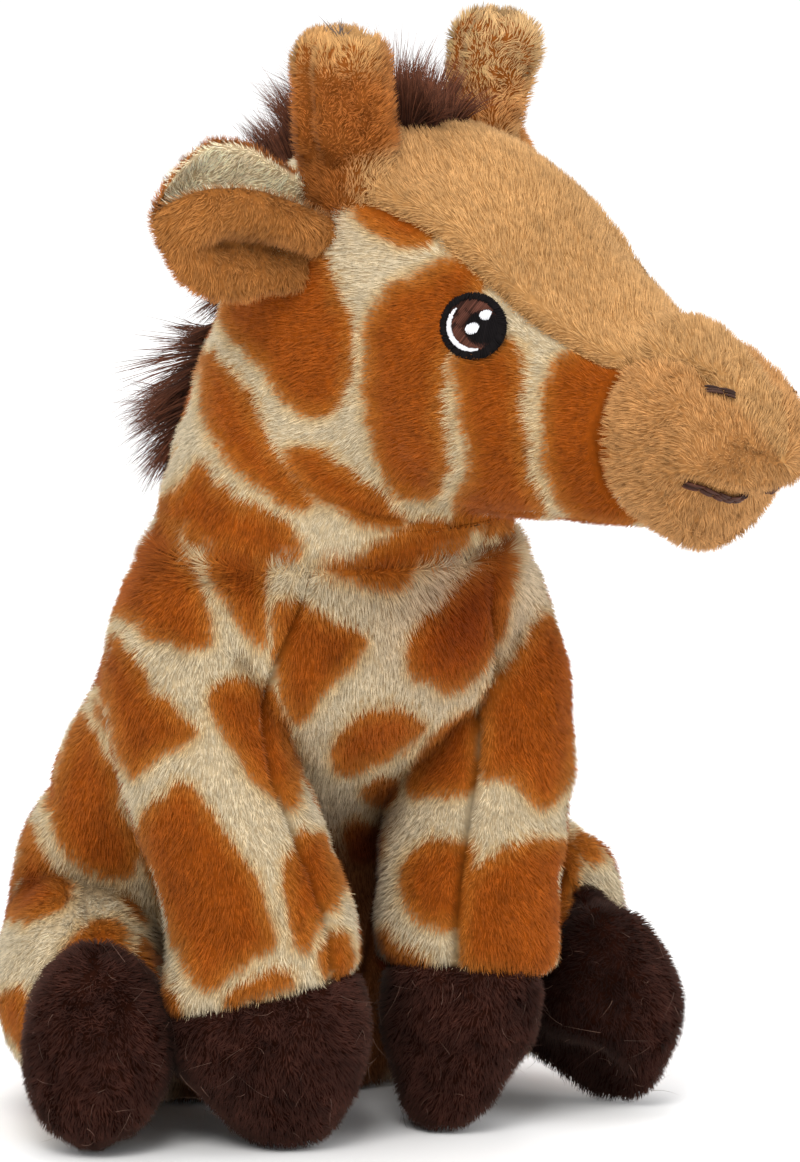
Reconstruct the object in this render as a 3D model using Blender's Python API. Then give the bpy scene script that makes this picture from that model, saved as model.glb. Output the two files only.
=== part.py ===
"""Seated plush giraffe: sewn skin panels over stuffing, in millimetres, +Z up.

The toy faces -Y, and +X is its own left. Points are drawn in a frame whose
upright axis runs through the front of the seat, and each object is placed with
the origin moved to the middle of the flat seat panel.
Every skin panel is a thin shell cut out of one smooth form (torso, head,
front leg, hind leg), and the stuffing is the closed solid inside that form.
"""
import math

import bpy
import numpy as np
from mathutils import Vector

# ---------------------------------------------------------------- dimensions
MM = 0.001
SEAT_MID = (0.0, 17.0, 0.0)   # middle of the seat panel, which is the toy's origin
SKIN = 1.2            # plush and its backing, pressed
LAY = 0.35            # space between a skin and the stuffing under it
SEAM = 0.20           # each panel stops this far from its seam line

HEAD_TURN = math.radians(30.0)     # the head looks 30 degrees to its own left
NECK = (0.0, -10.0, 100.0)         # centre of the ball at the foot of the neck
NECK_R = 26.5                      # radius of that ball
NECK_FLAT_Z = 84.0                 # the ball ends in a flat here
BOWL_R = 27.6                      # hollow in the body that the ball turns in
BOWL_FLOOR_Z = 79.0
RIM_Z = 90.6                       # top edge of the body's skin
RIM_R = 27.4

SHOULDER = (25.0, -14.0, 63.0)     # left shoulder; the right one is mirrored
SHOULDER_R = 13.0
HIP = (32.0, 14.5, 21.0)           # left hip
HIP_R = 13.0
HIP_HALF_H = 20.0
HIND_AIM = (11.6, -28.0)           # from the hip towards the toe, in plan
CLEAR = 1.5                        # free space round a limb that moves

EYE_R = 5.2
HORN_LEN = 23.5
EAR_LEN = 24.0

TORSO_COLS = 32
HEAD_COLS = 24
LEG_COLS = 16


# ------------------------------------------------------------------- helpers
def clear_scene():
    for ob in list(bpy.data.objects):
        bpy.data.objects.remove(ob, do_unlink=True)


def curve_through(stations, x):
    """Value of a smooth curve through (x, value...) stations, with no overshoot."""
    xs = np.array([s[0] for s in stations], float)
    ys = np.array([s[1:] for s in stations], float)
    h = np.diff(xs)[:, None]
    slope = np.diff(ys, axis=0) / h
    m = np.zeros_like(ys)
    m[0], m[-1] = slope[0], slope[-1]
    for k in range(1, len(xs) - 1):
        a, b = slope[k - 1], slope[k]
        same = (a * b) > 0
        m[k] = np.where(same, 2 * a * b / np.where(same, a + b, 1), 0)
    x = min(max(x, xs[0]), xs[-1])
    k = int(min(np.searchsorted(xs, x, side="right") - 1, len(xs) - 2))
    t = (x - xs[k]) / (xs[k + 1] - xs[k])
    h00, h10 = 2 * t**3 - 3 * t**2 + 1, t**3 - 2 * t**2 + t
    h01, h11 = -2 * t**3 + 3 * t**2, t**3 - t**2
    d = xs[k + 1] - xs[k]
    return h00 * ys[k] + h10 * d * m[k] + h01 * ys[k + 1] + h11 * d * m[k + 1]


MATERIALS = {}


def material(name, colour, roughness):
    if name not in MATERIALS:
        mat = bpy.data.materials.new(name)
        mat.use_nodes = True
        bsdf = mat.node_tree.nodes["Principled BSDF"]
        bsdf.inputs["Base Color"].default_value = (*colour, 1.0)
        bsdf.inputs["Roughness"].default_value = roughness
        bsdf.inputs["Metallic"].default_value = 0.0
        MATERIALS[name] = mat
    return MATERIALS[name]


PLUSH_ORANGE = ("plush_orange", (0.50, 0.17, 0.045), 0.95)
PLUSH_CREAM = ("plush_cream", (0.68, 0.58, 0.38), 0.95)
PLUSH_TAN = ("plush_tan", (0.66, 0.36, 0.15), 0.95)
PLUSH_DARK = ("plush_dark", (0.045, 0.022, 0.015), 0.95)
FUR_BROWN = ("fur_brown", (0.10, 0.045, 0.03), 0.95)
FILLING = ("filling", (0.85, 0.84, 0.80), 1.0)
POUCH = ("pouch", (0.75, 0.73, 0.68), 0.9)
THREAD_DARK = ("thread_dark", (0.03, 0.015, 0.012), 0.6)
THREAD_SEAM = ("thread_seam", (0.45, 0.18, 0.06), 0.7)

PIVOTS = {}


def pivot(name, at, parent=None):
    """An empty on a joint's axis. What moves with the joint is parented to it."""
    e = bpy.data.objects.new(name, None)
    bpy.context.scene.collection.objects.link(e)
    base = Vector(SEAT_MID)
    if parent:
        e.parent = PIVOTS[parent][0]
        base = PIVOTS[parent][1]
    e.location = (Vector(at) - base) * MM
    PIVOTS[name] = (e, Vector(at))


def make(name, verts, faces, mat, on=None):
    """One named object from points in millimetres in the drawing's frame."""
    base = PIVOTS[on][1] if on else Vector(SEAT_MID)
    me = bpy.data.meshes.new(name)
    me.from_pydata([((Vector(v) - base) * MM)[:] for v in verts], [], faces)
    me.validate(clean_customdata=False)
    me.materials.append(material(*mat))
    me.shade_smooth()
    me.set_sharp_from_angle(angle=math.radians(50))
    me.update()
    ob = bpy.data.objects.new(name, me)
    bpy.context.scene.collection.objects.link(ob)
    if on:
        ob.parent = PIVOTS[on][0]
    return ob


# A form is a grid of points P[row, column], closed round the columns. A first
# or last row whose points coincide is a pole.
def is_pole(P, i):
    return np.ptp(P[i], axis=0).max() < 1e-6


def form_normals(P):
    rows, cols, _ = P.shape
    up = np.zeros_like(P)
    up[1:-1] = P[2:] - P[:-2]
    up[0], up[-1] = P[1] - P[0], P[-1] - P[-2]
    round_ = np.roll(P, -1, axis=1) - np.roll(P, 1, axis=1)
    n = np.cross(round_, up)
    ln = np.linalg.norm(n, axis=2, keepdims=True)
    n = n / np.where(ln > 1e-9, ln, 1)
    centre = P.mean(axis=(0, 1))
    if (n * (P - centre)).sum() < 0:
        n = -n
    for i, k in ((0, 1), (rows - 1, rows - 2)):
        if is_pole(P, i):
            a = n[k].mean(axis=0)
            axis = P[i].mean(axis=0) - P[k].mean(axis=0)
            d = axis if np.linalg.norm(axis) > 1e-6 else a
            n[i] = d / np.linalg.norm(d)
    return n


def outward(P, N):
    """True if a cell's corners (i,j) (i,j+1) (i+1,j+1) (i+1,j) run outward."""
    a = np.cross(np.roll(P, -1, axis=1)[:-1] - P[:-1], P[1:] - P[:-1])
    return (a * N[:-1]).sum() > 0


def split(q):
    """A cell's triangles, always across the same corners, so nested skins agree."""
    return [q] if len(q) == 3 else [[q[0], q[1], q[2]], [q[0], q[2], q[3]]]


def closed_form(name, P, N, inset, mat, on=None, rows=None, floor=None):
    """The closed solid inside a form, inset along its normals."""
    i0, i1 = rows or (0, P.shape[0] - 1)
    Q = P - N * inset
    if floor is not None:
        Q[:, :, 2] = np.maximum(Q[:, :, 2], floor)
    cols = P.shape[1]
    verts, ids = [], {}

    def vid(i, j):
        j %= cols
        key = (i, 0) if is_pole(P, i) else (i, j)
        if key not in ids:
            ids[key] = len(verts)
            verts.append(tuple(Q[key]))
        return ids[key]

    fwd = outward(P, N)
    faces = []
    for i in range(i0, i1):
        for j in range(cols):
            f = [vid(i, j), vid(i, j + 1), vid(i + 1, j + 1), vid(i + 1, j)]
            f = [v for k, v in enumerate(f) if v not in f[:k]]
            faces.extend(t if fwd else t[::-1] for t in split(f))
    for i, first in ((i0, True), (i1, False)):
        if not is_pole(P, i):
            mid = len(verts)
            verts.append(tuple(Q[i].mean(axis=0)))
            for j in range(cols):
                f = [vid(i, j), vid(i, j + 1), mid]
                if first == fwd:
                    f = f[::-1]
                faces.append(f)
    return make(name, verts, faces, mat, on)


def panel(name, P, N, cells, mat, on=None, skin=SKIN, seam=SEAM, floor=None):
    """A sewn panel: the given cells of a form as a shell of one closed skin."""
    cols = P.shape[1]
    cells = sorted({(i, j % cols) for i, j in cells})

    def key(i, j):
        return (i, 0) if is_pole(P, i) else (i, j % cols)

    quads, toward, edges = [], {}, {}
    for i, j in cells:
        q = [key(i, j), key(i, j + 1), key(i + 1, j + 1), key(i + 1, j)]
        q = [v for k, v in enumerate(q) if v not in q[:k]]
        quads.append(q)
        mid = np.mean([P[v] for v in q], axis=0)
        for k, v in enumerate(q):
            toward.setdefault(v, []).append(mid)
            w = q[(k + 1) % len(q)]
            edges[(v, w)] = edges.get((v, w), 0) + 1
    rim = [(a, b) for (a, b) in edges if (b, a) not in edges]
    on_rim = {v for e in rim for v in e}
    fwd = outward(P, N)
    verts, ids = [], {}
    for layer in (0, 1):
        for v in toward:
            p, n = P[v].copy(), N[v]
            if v in on_rim:
                d = np.mean(toward[v], axis=0) - P[v]
                d -= n * d.dot(n)
                p = p + d / max(np.linalg.norm(d), 1e-9) * seam
            if layer:
                p = p - n * skin
            if floor is not None:
                p[2] = max(p[2], floor)
            ids[(layer, v)] = len(verts)
            verts.append(tuple(p))
    faces = []
    for q in quads:
        for t in split(q):
            out = [ids[(0, v)] for v in t]
            inn = [ids[(1, v)] for v in t]
            faces.append(out if fwd else out[::-1])
            faces.append(inn[::-1] if fwd else inn)
    for a, b in rim:
        f = [ids[(0, b)], ids[(0, a)], ids[(1, a)], ids[(1, b)]]
        faces.append(f if fwd else f[::-1])
    return make(name, verts, faces, mat, on)


def block(rows, cols):
    return [(i, j) for i in range(*rows) for j in range(*cols)]


def mirror_form(P):
    """The same form on the toy's other side, its columns kept in order round it."""
    Q = P.copy()
    Q[:, :, 0] *= -1
    return Q


# ---------------------------------------------------------------- front legs
# z, centre x, centre y, half-width x, half-width y
FRONT_LEG = [
    (0.0, 16.4, -22.5, 9.5, 10.5),
    (1.2, 16.4, -22.5, 11.6, 12.6),
    (5.0, 16.4, -22.4, 13.4, 14.2),
    (12.0, 16.4, -22.3, 14.2, 15.0),
    (23.0, 17.0, -21.5, 14.2, 14.6),
    (38.0, 19.2, -18.8, 15.2, 15.4),
    (50.0, 22.0, -16.3, 14.8, 15.0),
    (63.0, 25.0, -14.0, 13.0, 13.0),
]
HOOF_Z = 23.0


def front_leg_form():
    rows = [(-1, 0.0), (0, 0.0), (0, 1.2), (0, 5.0), (0, 13.0), (0, HOOF_Z), (0, 33.0),
            (0, 43.0), (0, 53.0), (0, 63.0)]
    rows += [(1, a) for a in (25, 50, 72, 90)]
    P = np.zeros((len(rows), LEG_COLS, 3))
    for i, (kind, v) in enumerate(rows):
        for j in range(LEG_COLS):
            t = 2 * math.pi * j / LEG_COLS
            if kind == 1:
                a = math.radians(v)
                r, z = SHOULDER_R * math.cos(a), SHOULDER[2] + SHOULDER_R * math.sin(a)
                cx, cy, rx, ry = SHOULDER[0], SHOULDER[1], r, r
            else:
                z = v
                cx, cy, rx, ry = curve_through(FRONT_LEG, v)
                if kind == -1:
                    rx = ry = 0.0
            if abs(rx) < 1e-6:
                rx = ry = 0.0
            P[i, j] = (cx + rx * math.sin(t), cy - ry * math.cos(t), z)
    return P


# ----------------------------------------------------------------- hind legs
# distance from the hip towards the toe, half-width, half-height, centre z
HIND_LEG = [
    (0.0, HIP_R, HIP_HALF_H, 20.5),
    (10.0, 14.0, 19.3, 18.8),
    (20.0, 13.6, 17.4, 16.8),
    (27.0, 13.1, 16.4, 15.7),
    (34.0, 12.7, 15.9, 15.2),
    (40.0, 10.6, 13.6, 13.6),
    (44.0, 6.6, 8.8, 12.4),
    (46.0, 0.0, 0.0, 11.5),
]
HIND_HOOF_X = 27.0


def hind_leg_form():
    ln = math.hypot(*HIND_AIM)
    dx, dy = HIND_AIM[0] / ln, HIND_AIM[1] / ln
    px, py = -dy, dx                       # to the leg's outer side
    rows = [(1, a) for a in (90, 68, 45, 22)]
    rows += [(0, v) for v in (0.0, 7.0, 14.0, 21.0, HIND_HOOF_X, 33.0, 38.0, 42.0, 44.6, 46.0)]
    P = np.zeros((len(rows), LEG_COLS, 3))
    for i, (kind, v) in enumerate(rows):
        if kind == 1:
            a = math.radians(v)
            x, w, hz, zc = -HIP_R * math.sin(a), HIP_R * math.cos(a), HIP_HALF_H * math.cos(a), 20.5
        else:
            x = v
            w, hz, zc = curve_through(HIND_LEG, v)
        if w < 1e-6:
            w = hz = 0.0
        for j in range(LEG_COLS):
            t = 2 * math.pi * j / LEG_COLS
            s = w * math.sin(t)
            z = zc + hz * math.cos(t)
            P[i, j] = (HIP[0] + dx * x + px * s, HIP[1] + dy * x + py * s, max(z, 0.0))
    return P


# --------------------------------------------------------------------- torso
# z, half-width, front y, back y
TORSO = [
    (0.0, 30.0, 3.0, 36.0),
    (2.5, 34.0, 0.0, 39.5),
    (9.0, 39.0, -3.5, 43.5),
    (20.0, 42.0, -6.0, 46.0),
    (36.0, 41.5, -9.0, 44.5),
    (52.0, 39.0, -17.0, 38.5),
    (62.0, 37.0, -27.0, 34.0),
    (72.0, 35.0, -34.5, 28.5),
    (80.0, 33.5, -37.0, 24.0),
    (86.0, 31.0, -37.8, 20.5),
    (RIM_Z, RIM_R, -10.0 - RIM_R, -10.0 + RIM_R),
]
# z, y of the upright line that the torso's sections are taken round
TORSO_AXIS = [(0.0, 17.0), (40.0, 16.0), (60.0, 9.0), (75.0, 0.0), (86.0, -8.0), (RIM_Z, -10.0)]
TORSO_ROWS = (0.0, 2.5, 8.0, 15.0, 23.0, 31.0, 40.0, 49.0, 57.0, 65.0, 73.0, 80.0, 86.0, RIM_Z)


def limb_balls():
    """Balls that fill the limbs and the free space they need, left side."""
    balls = []
    for k in range(14):
        z = 3.0 + k * (SHOULDER[2] - 3.0) / 13
        cx, cy, rx, ry = curve_through(FRONT_LEG, z)
        balls.append((cx, cy, z, max(rx, ry) + CLEAR))
    for k in range(5):
        balls.append((HIP[0], HIP[1], 11.0 + 5.0 * k, HIP_R + CLEAR - 0.25 * abs(k - 2)))
    ln = math.hypot(*HIND_AIM)
    for k in range(1, 9):
        x = 4.5 * k
        w, hz, zc = curve_through(HIND_LEG, x)
        for up in (-0.3, 0.3):
            balls.append((HIP[0] + HIND_AIM[0] / ln * x, HIP[1] + HIND_AIM[1] / ln * x,
                          zc + up * hz, w + CLEAR))
    return balls


def torso_form():
    balls = np.array(limb_balls())
    fine = 180
    th = np.arange(fine) * 2 * math.pi / fine
    zs = np.arange(0.0, RIM_Z + 0.01, 2.0)
    free = np.full((len(zs), fine), 1e3)
    for a, z in enumerate(zs):
        yc = curve_through(TORSO_AXIS, z)[0]
        for b, t in enumerate(th):
            d = np.array([math.sin(t), -math.cos(t)])
            for side in (1, -1):
                c = balls[:, :2] * (side, 1) - (0, yc)
                along = c @ d
                near2 = (c**2).sum(axis=1) - along**2
                r2 = balls[:, 3] ** 2 - (balls[:, 2] - z) ** 2 - near2
                hit = (r2 > 0) & (along > 0)
                if hit.any():
                    free[a, b] = min(free[a, b], (along[hit] - np.sqrt(r2[hit])).min())
    P = np.zeros((len(TORSO_ROWS), TORSO_COLS, 3))
    R = np.zeros((len(TORSO_ROWS), TORSO_COLS))
    for i, z in enumerate(TORSO_ROWS):
        yc = curve_through(TORSO_AXIS, z)[0]
        a, yf, yb = curve_through(TORSO, z)
        y0, b = (yf + yb) / 2, (yb - yf) / 2
        for j in range(TORSO_COLS):
            t = 2 * math.pi * j / TORSO_COLS
            dx, dy = math.sin(t), -math.cos(t)
            A = (dx / a) ** 2 + (dy / b) ** 2
            B = 2 * dy * (yc - y0) / b**2
            C = ((yc - y0) / b) ** 2 - 1
            r = (-B + math.sqrt(B * B - 4 * A * C)) / (2 * A)
            turn = np.abs((th - t + math.pi) % (2 * math.pi) - math.pi)
            lim = free * np.exp(2.6 * np.maximum(turn - 0.10, 0))[None, :]
            lim = lim + 2.2 * np.maximum(np.abs(zs - z) - 2.0, 0)[:, None]
            R[i, j] = min(r, lim.min())
    for _ in range(2):                       # round off the edges of the dents
        near = (np.roll(R, 1, 1) + np.roll(R, -1, 1) + 2 * R) / 4
        R[1:-2] = np.minimum(R, near)[1:-2]
    R[0] = np.minimum(R[0], R[1] * 0.90)
    for i, z in enumerate(TORSO_ROWS):
        yc = curve_through(TORSO_AXIS, z)[0]
        for j in range(TORSO_COLS):
            t = 2 * math.pi * j / TORSO_COLS
            P[i, j] = (R[i, j] * math.sin(t), yc - R[i, j] * math.cos(t), z)
    return P, R


def torso_inset(P, depth):
    """The torso's points moved in along their rays, more where the side is steep."""
    Q = P.copy()
    N = form_normals(P)
    for i, z in enumerate(TORSO_ROWS):
        yc = curve_through(TORSO_AXIS, z)[0]
        for j in range(P.shape[1]):
            d = P[i, j, :2] - (0, yc)
            r = np.linalg.norm(d)
            d = d / r
            c = max(0.45, float(N[i, j, :2] @ d))
            Q[i, j, :2] = (0, yc) + d * (r - depth / c)
    return Q


def torso_pieces():
    P, _ = torso_form()
    cols = TORSO_COLS
    top = len(TORSO_ROWS) - 1
    inner = torso_inset(P, SKIN)
    core = torso_inset(P, SKIN + LAY)
    unit = np.zeros_like(P)
    unit[:] = (P - inner) / SKIN

    def skin(name, j0, j1, mat, rows=(1, top)):
        panel(name, P, unit, block(rows, (j0, j1)), mat)

    front = 3                                      # the gusset spans 3 columns each way
    skin("body_side_left", front, cols // 2, PLUSH_ORANGE)
    skin("body_side_right", cols // 2, cols - front, PLUSH_ORANGE)
    skin("belly_gusset", -front, front, PLUSH_CREAM)

    # flat seat panel
    verts, faces = [], []
    rim = P[1].copy()
    foot = P[0].copy()
    mid = foot.mean(axis=0)
    lower = [mid + (p - mid) * 0.985 for p in foot]
    upper = [np.array([*(mid + (p - mid) * (1 - 0.25 / max(np.linalg.norm((p - mid)[:2]), 1)))[:2], 0.0])
             for p in rim]
    for p in lower:
        verts.append((p[0], p[1], 0.0))
    for p, q in zip(upper, lower):
        verts.append(((p[0] + q[0]) / 2, (p[1] + q[1]) / 2, 1.3))
    verts += [(mid[0], mid[1], 0.0), (mid[0], mid[1], 1.3)]
    for j in range(cols):
        k = (j + 1) % cols
        faces.append([j, cols + j, cols + k, k][::-1])
        faces.append([2 * cols, j, k][::-1])
        faces.append([2 * cols + 1, cols + j, cols + k])
    make("seat_base_panel", verts, faces, PLUSH_CREAM)

    # pellet pouch in the seat, then the fibre above it
    def core_solid(name, rows, z0, z1, mat, bowl=False):
        verts, faces = [], []
        n = cols
        ring = []
        for k, i in enumerate(rows):
            pts = core[i].copy()
            if k == 0:
                pts[:, 2] = z0
            if k == len(rows) - 1:
                pts[:, 2] = z1
            ring.append(len(verts))
            verts.extend(map(tuple, pts))
        for a, b in zip(ring, ring[1:]):
            for j in range(n):
                k = (j + 1) % n
                faces.extend(split([a + j, a + k, b + k, b + j]))
        c = np.mean([verts[ring[0] + j] for j in range(n)], axis=0)
        verts.append(tuple(c))
        m = len(verts) - 1
        for j in range(n):
            faces.append([m, ring[0] + (j + 1) % n, ring[0] + j])
        last = ring[-1]
        if bowl:
            for z in (z1, 84.0, 81.0, BOWL_FLOOR_Z + 0.2):
                r = math.sqrt(BOWL_R**2 - (NECK[2] - z) ** 2)
                start = len(verts)
                for j in range(n):
                    t = 2 * math.pi * j / n
                    verts.append((NECK[0] + r * math.sin(t), NECK[1] - r * math.cos(t), z))
                for j in range(n):
                    k = (j + 1) % n
                    faces.append([last + j, last + k, start + k, start + j])
                last = start
            verts.append((NECK[0], NECK[1], BOWL_FLOOR_Z))
        else:
            c = np.mean([verts[last + j] for j in range(n)], axis=0)
            verts.append(tuple(c))
        m = len(verts) - 1
        for j in range(n):
            faces.append([m, last + j, last + (j + 1) % n])
        make(name, verts, faces, mat)

    rows = list(range(len(TORSO_ROWS)))
    level = TORSO_ROWS.index(23.0)
    core_solid("pellet_pouch", rows[1:level + 1], 2.9, 23.0, POUCH)
    core_solid("body_stuffing", rows[level:rows[-1]], 23.4, 86.0, FILLING, bowl=True)


# ---------------------------------------------------------------------- legs
def leg_pieces(side, kind):
    s = 1 if side == "left" else -1
    tag = f"{kind}_leg_{side}"
    P = front_leg_form() if kind == "front" else hind_leg_form()
    if s < 0:
        P = mirror_form(P)
    N = form_normals(P)
    last = P.shape[0] - 1
    cols = LEG_COLS
    if kind == "front":
        on = f"pivot_shoulder_{side}"
        hoof = 5                                   # row of the foot's seam
        foot = block((0, hoof), (0, cols))
        outer = block((hoof, last), (-1, cols // 2))        # seam on the inner front
        inner = block((hoof, last), (cols // 2, cols - 1))
    else:
        on = f"pivot_hip_{side}"
        hoof = 8
        foot = block((hoof, last), (0, cols))
        outer = block((0, hoof), (0, cols // 2))
        inner = block((0, hoof), (cols // 2, cols))
    low = 0.0
    panel(f"{tag}_outer_panel", P, N, outer, PLUSH_ORANGE, on, floor=low)
    panel(f"{tag}_inner_panel", P, N, inner, PLUSH_ORANGE, on, floor=low)
    shell = np.copy(N)
    panel(f"{tag}_foot_cover", P, shell, foot, PLUSH_DARK, on)
    closed_form(f"{tag}_stuffing", P, N, SKIN + LAY, FILLING, on)


# ---------------------------------------------------------------------- head
FAN = (30.0, 97.5)           # throat corner that the sections of the head turn round
FAN_R = 3.5
# angle, distance of the outer profile from the throat corner, half-width
HEAD_BACK = [
    (180.0, 56.4, 26.4),
    (165.0, 55.2, 26.0),
    (150.0, 56.4, 25.4),
    (135.0, 61.2, 25.6),
    (120.0, 66.0, 26.6),
    (105.0, 65.6, 27.4),
    (90.0, 61.8, 27.4),
]
# distance forward, top z, bottom z, half-width
HEAD_FRONT = [
    (30.0, 159.3, 101.0, 27.4),
    (37.0, 156.8, 101.0, 26.8),
    (43.0, 152.6, 101.0, 25.2),
    (49.0, 147.2, 101.0, 22.9),
    (55.0, 141.6, 101.0, 20.2),
    (61.0, 136.4, 101.2, 17.9),
    (66.0, 133.2, 101.6, 16.8),
    (72.0, 130.8, 99.8, 18.2),
    (78.0, 128.0, 100.0, 17.9),
    (83.0, 124.6, 102.6, 15.4),
    (86.6, 119.6, 107.4, 9.6),
    (88.2, 113.6, 113.6, 0.0),
]
MUZZLE_X = 66.0
MOUTH_Z = 108.6


def head_point(f, l, z):
    """From the head's own frame (forward, to its left, up) to the toy's frame."""
    s, c = math.sin(HEAD_TURN), math.cos(HEAD_TURN)
    return np.array([NECK[0] + f * s + l * c, NECK[1] - f * c + l * s, z])


def head_dir(f, l, z):
    return head_point(f, l, z) - head_point(0, 0, 0)


def head_ring(kind, v, theta):
    """Point (f, l, z) of the head's form at one section and angle; 0 is the crown."""
    ct, st = math.cos(theta), math.sin(theta)
    if kind == "ball":
        r = math.sqrt(max(NECK_R**2 - (NECK[2] - v) ** 2, 0))
        return (-r * ct, r * st, v)
    if kind == "fan":
        rho, w = curve_through(HEAD_BACK[::-1], v)
        h = (rho - FAN_R) / 2
        a = math.radians(v)
        d = FAN_R + h + h * ct
        return (FAN[0] + d * math.cos(a), w * st, FAN[1] + d * math.sin(a))
    top, bottom, w = curve_through(HEAD_FRONT, v)
    mid, h = (top + bottom) / 2, (top - bottom) / 2
    return (v, w * st, mid + h * ct)


HEAD_ROWS = [("flat", NECK_FLAT_Z), ("ball", NECK_FLAT_Z), ("ball", 88.0), ("ball", 92.5)]
HEAD_ROWS += [("fan", a) for a in (180.0, 165.0, 150.0, 135.0, 120.0, 105.0)]
HEAD_ROWS += [("run", v) for v in (30.0, 37.0, 43.0, 49.0, 55.0, 61.0, MUZZLE_X)]
HEAD_ROWS += [("run", v) for v in (71.0, 76.5, 81.5, 85.0, 87.3, 88.2)]


def head_form():
    P = np.zeros((len(HEAD_ROWS), HEAD_COLS, 3))
    for i, (kind, v) in enumerate(HEAD_ROWS):
        for j in range(HEAD_COLS):
            t = 2 * math.pi * j / HEAD_COLS
            q = (0.0, 0.0, v) if kind == "flat" else head_ring(kind, v, t)
            if kind == "run" and v >= 88.2:
                q = (v, 0.0, 113.6)
            P[i, j] = head_point(*q)
    return P


def surface(kind, v, theta, out=0.0):
    """A point on the head's smooth form, moved out along its normal."""
    e = 0.4
    du = np.subtract(head_ring(kind, v, theta + 0.02), head_ring(kind, v, theta - 0.02))
    dv = np.subtract(head_ring(kind, v + e, theta), head_ring(kind, v - e, theta))
    n = np.cross(du, dv)
    n = n / np.linalg.norm(n)
    p = np.array(head_ring(kind, v, theta))
    side = np.array([-math.cos(theta), math.sin(theta), 0.0]) if kind != "run" else np.array(
        [0.0, math.sin(theta), math.cos(theta)])
    if kind == "fan":
        a = math.radians(v)
        side = np.array([math.cos(theta) * math.cos(a), math.sin(theta), math.cos(theta) * math.sin(a)])
    if n @ side < 0:
        n = -n
    return head_point(*(p + n * out)), head_dir(*n)


def strip(name, lines, mat, on):
    """A closed ribbon from rows of (outer, inner) point pairs."""
    rows, w = len(lines), len(lines[0])
    verts, faces = [], []
    for layer in (0, 1):
        for row in lines:
            for pair in row:
                verts.append(tuple(pair[layer]))
    n = rows * w

    def v(layer, i, j):
        return layer * n + i * w + j

    for i in range(rows - 1):
        for j in range(w - 1):
            q = [v(0, i, j), v(0, i, j + 1), v(0, i + 1, j + 1), v(0, i + 1, j)]
            faces.append(q)
            faces.append([k + n for k in q][::-1])
    rim = [(0, j) for j in range(w - 1)] + [(i, w - 1) for i in range(rows - 1)]
    rim += [(rows - 1, j) for j in range(w - 1, 0, -1)] + [(i, 0) for i in range(rows - 1, 0, -1)]
    for a, b in zip(rim, rim[1:] + rim[:1]):
        faces.append([v(0, *b), v(0, *a), v(1, *a), v(1, *b)])
    P0 = np.array(verts[:n]).reshape(rows, w, 3)
    P1 = np.array(verts[n:]).reshape(rows, w, 3)
    c = np.cross(P0[0, 1] - P0[0, 0], P0[1, 0] - P0[0, 0])
    if c @ (P0[0, 0] - P1[0, 0]) < 0:
        faces = [f[::-1] for f in faces]
    return make(name, verts, faces, mat, on)


def button(name, centre, normal, up, rx, ry, thick, mat, on, sides=16):
    """A flat embroidered patch: an oval disc with a softened front edge."""
    n = np.array(normal) / np.linalg.norm(normal)
    up = np.array(up, float) - n * np.dot(up, n)
    up /= np.linalg.norm(up)
    side = np.cross(up, n)
    verts, faces = [], []
    for out, k in ((0.0, 1.0), (thick * 0.6, 1.0), (thick, 0.86)):
        for j in range(sides):
            t = 2 * math.pi * j / sides
            verts.append(tuple(np.array(centre) + n * out + side * rx * k * math.sin(t)
                               + up * ry * k * math.cos(t)))
    for a in (0, sides):
        for j in range(sides):
            k = (j + 1) % sides
            faces.append([a + j, a + k, a + sides + k, a + sides + j])
    verts += [tuple(centre), tuple(np.array(centre) + n * thick)]
    for j in range(sides):
        k = (j + 1) % sides
        faces.append([3 * sides, j, k][::-1])
        faces.append([3 * sides + 1, 2 * sides + j, 2 * sides + k])
    vol = 0.0
    V = np.array(verts)
    for f in faces:
        for k in range(1, len(f) - 1):
            vol += np.dot(V[f[0]], np.cross(V[f[k]], V[f[k + 1]]))
    if vol < 0:
        faces = [f[::-1] for f in faces]
    return make(name, verts, faces, mat, on)


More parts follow.
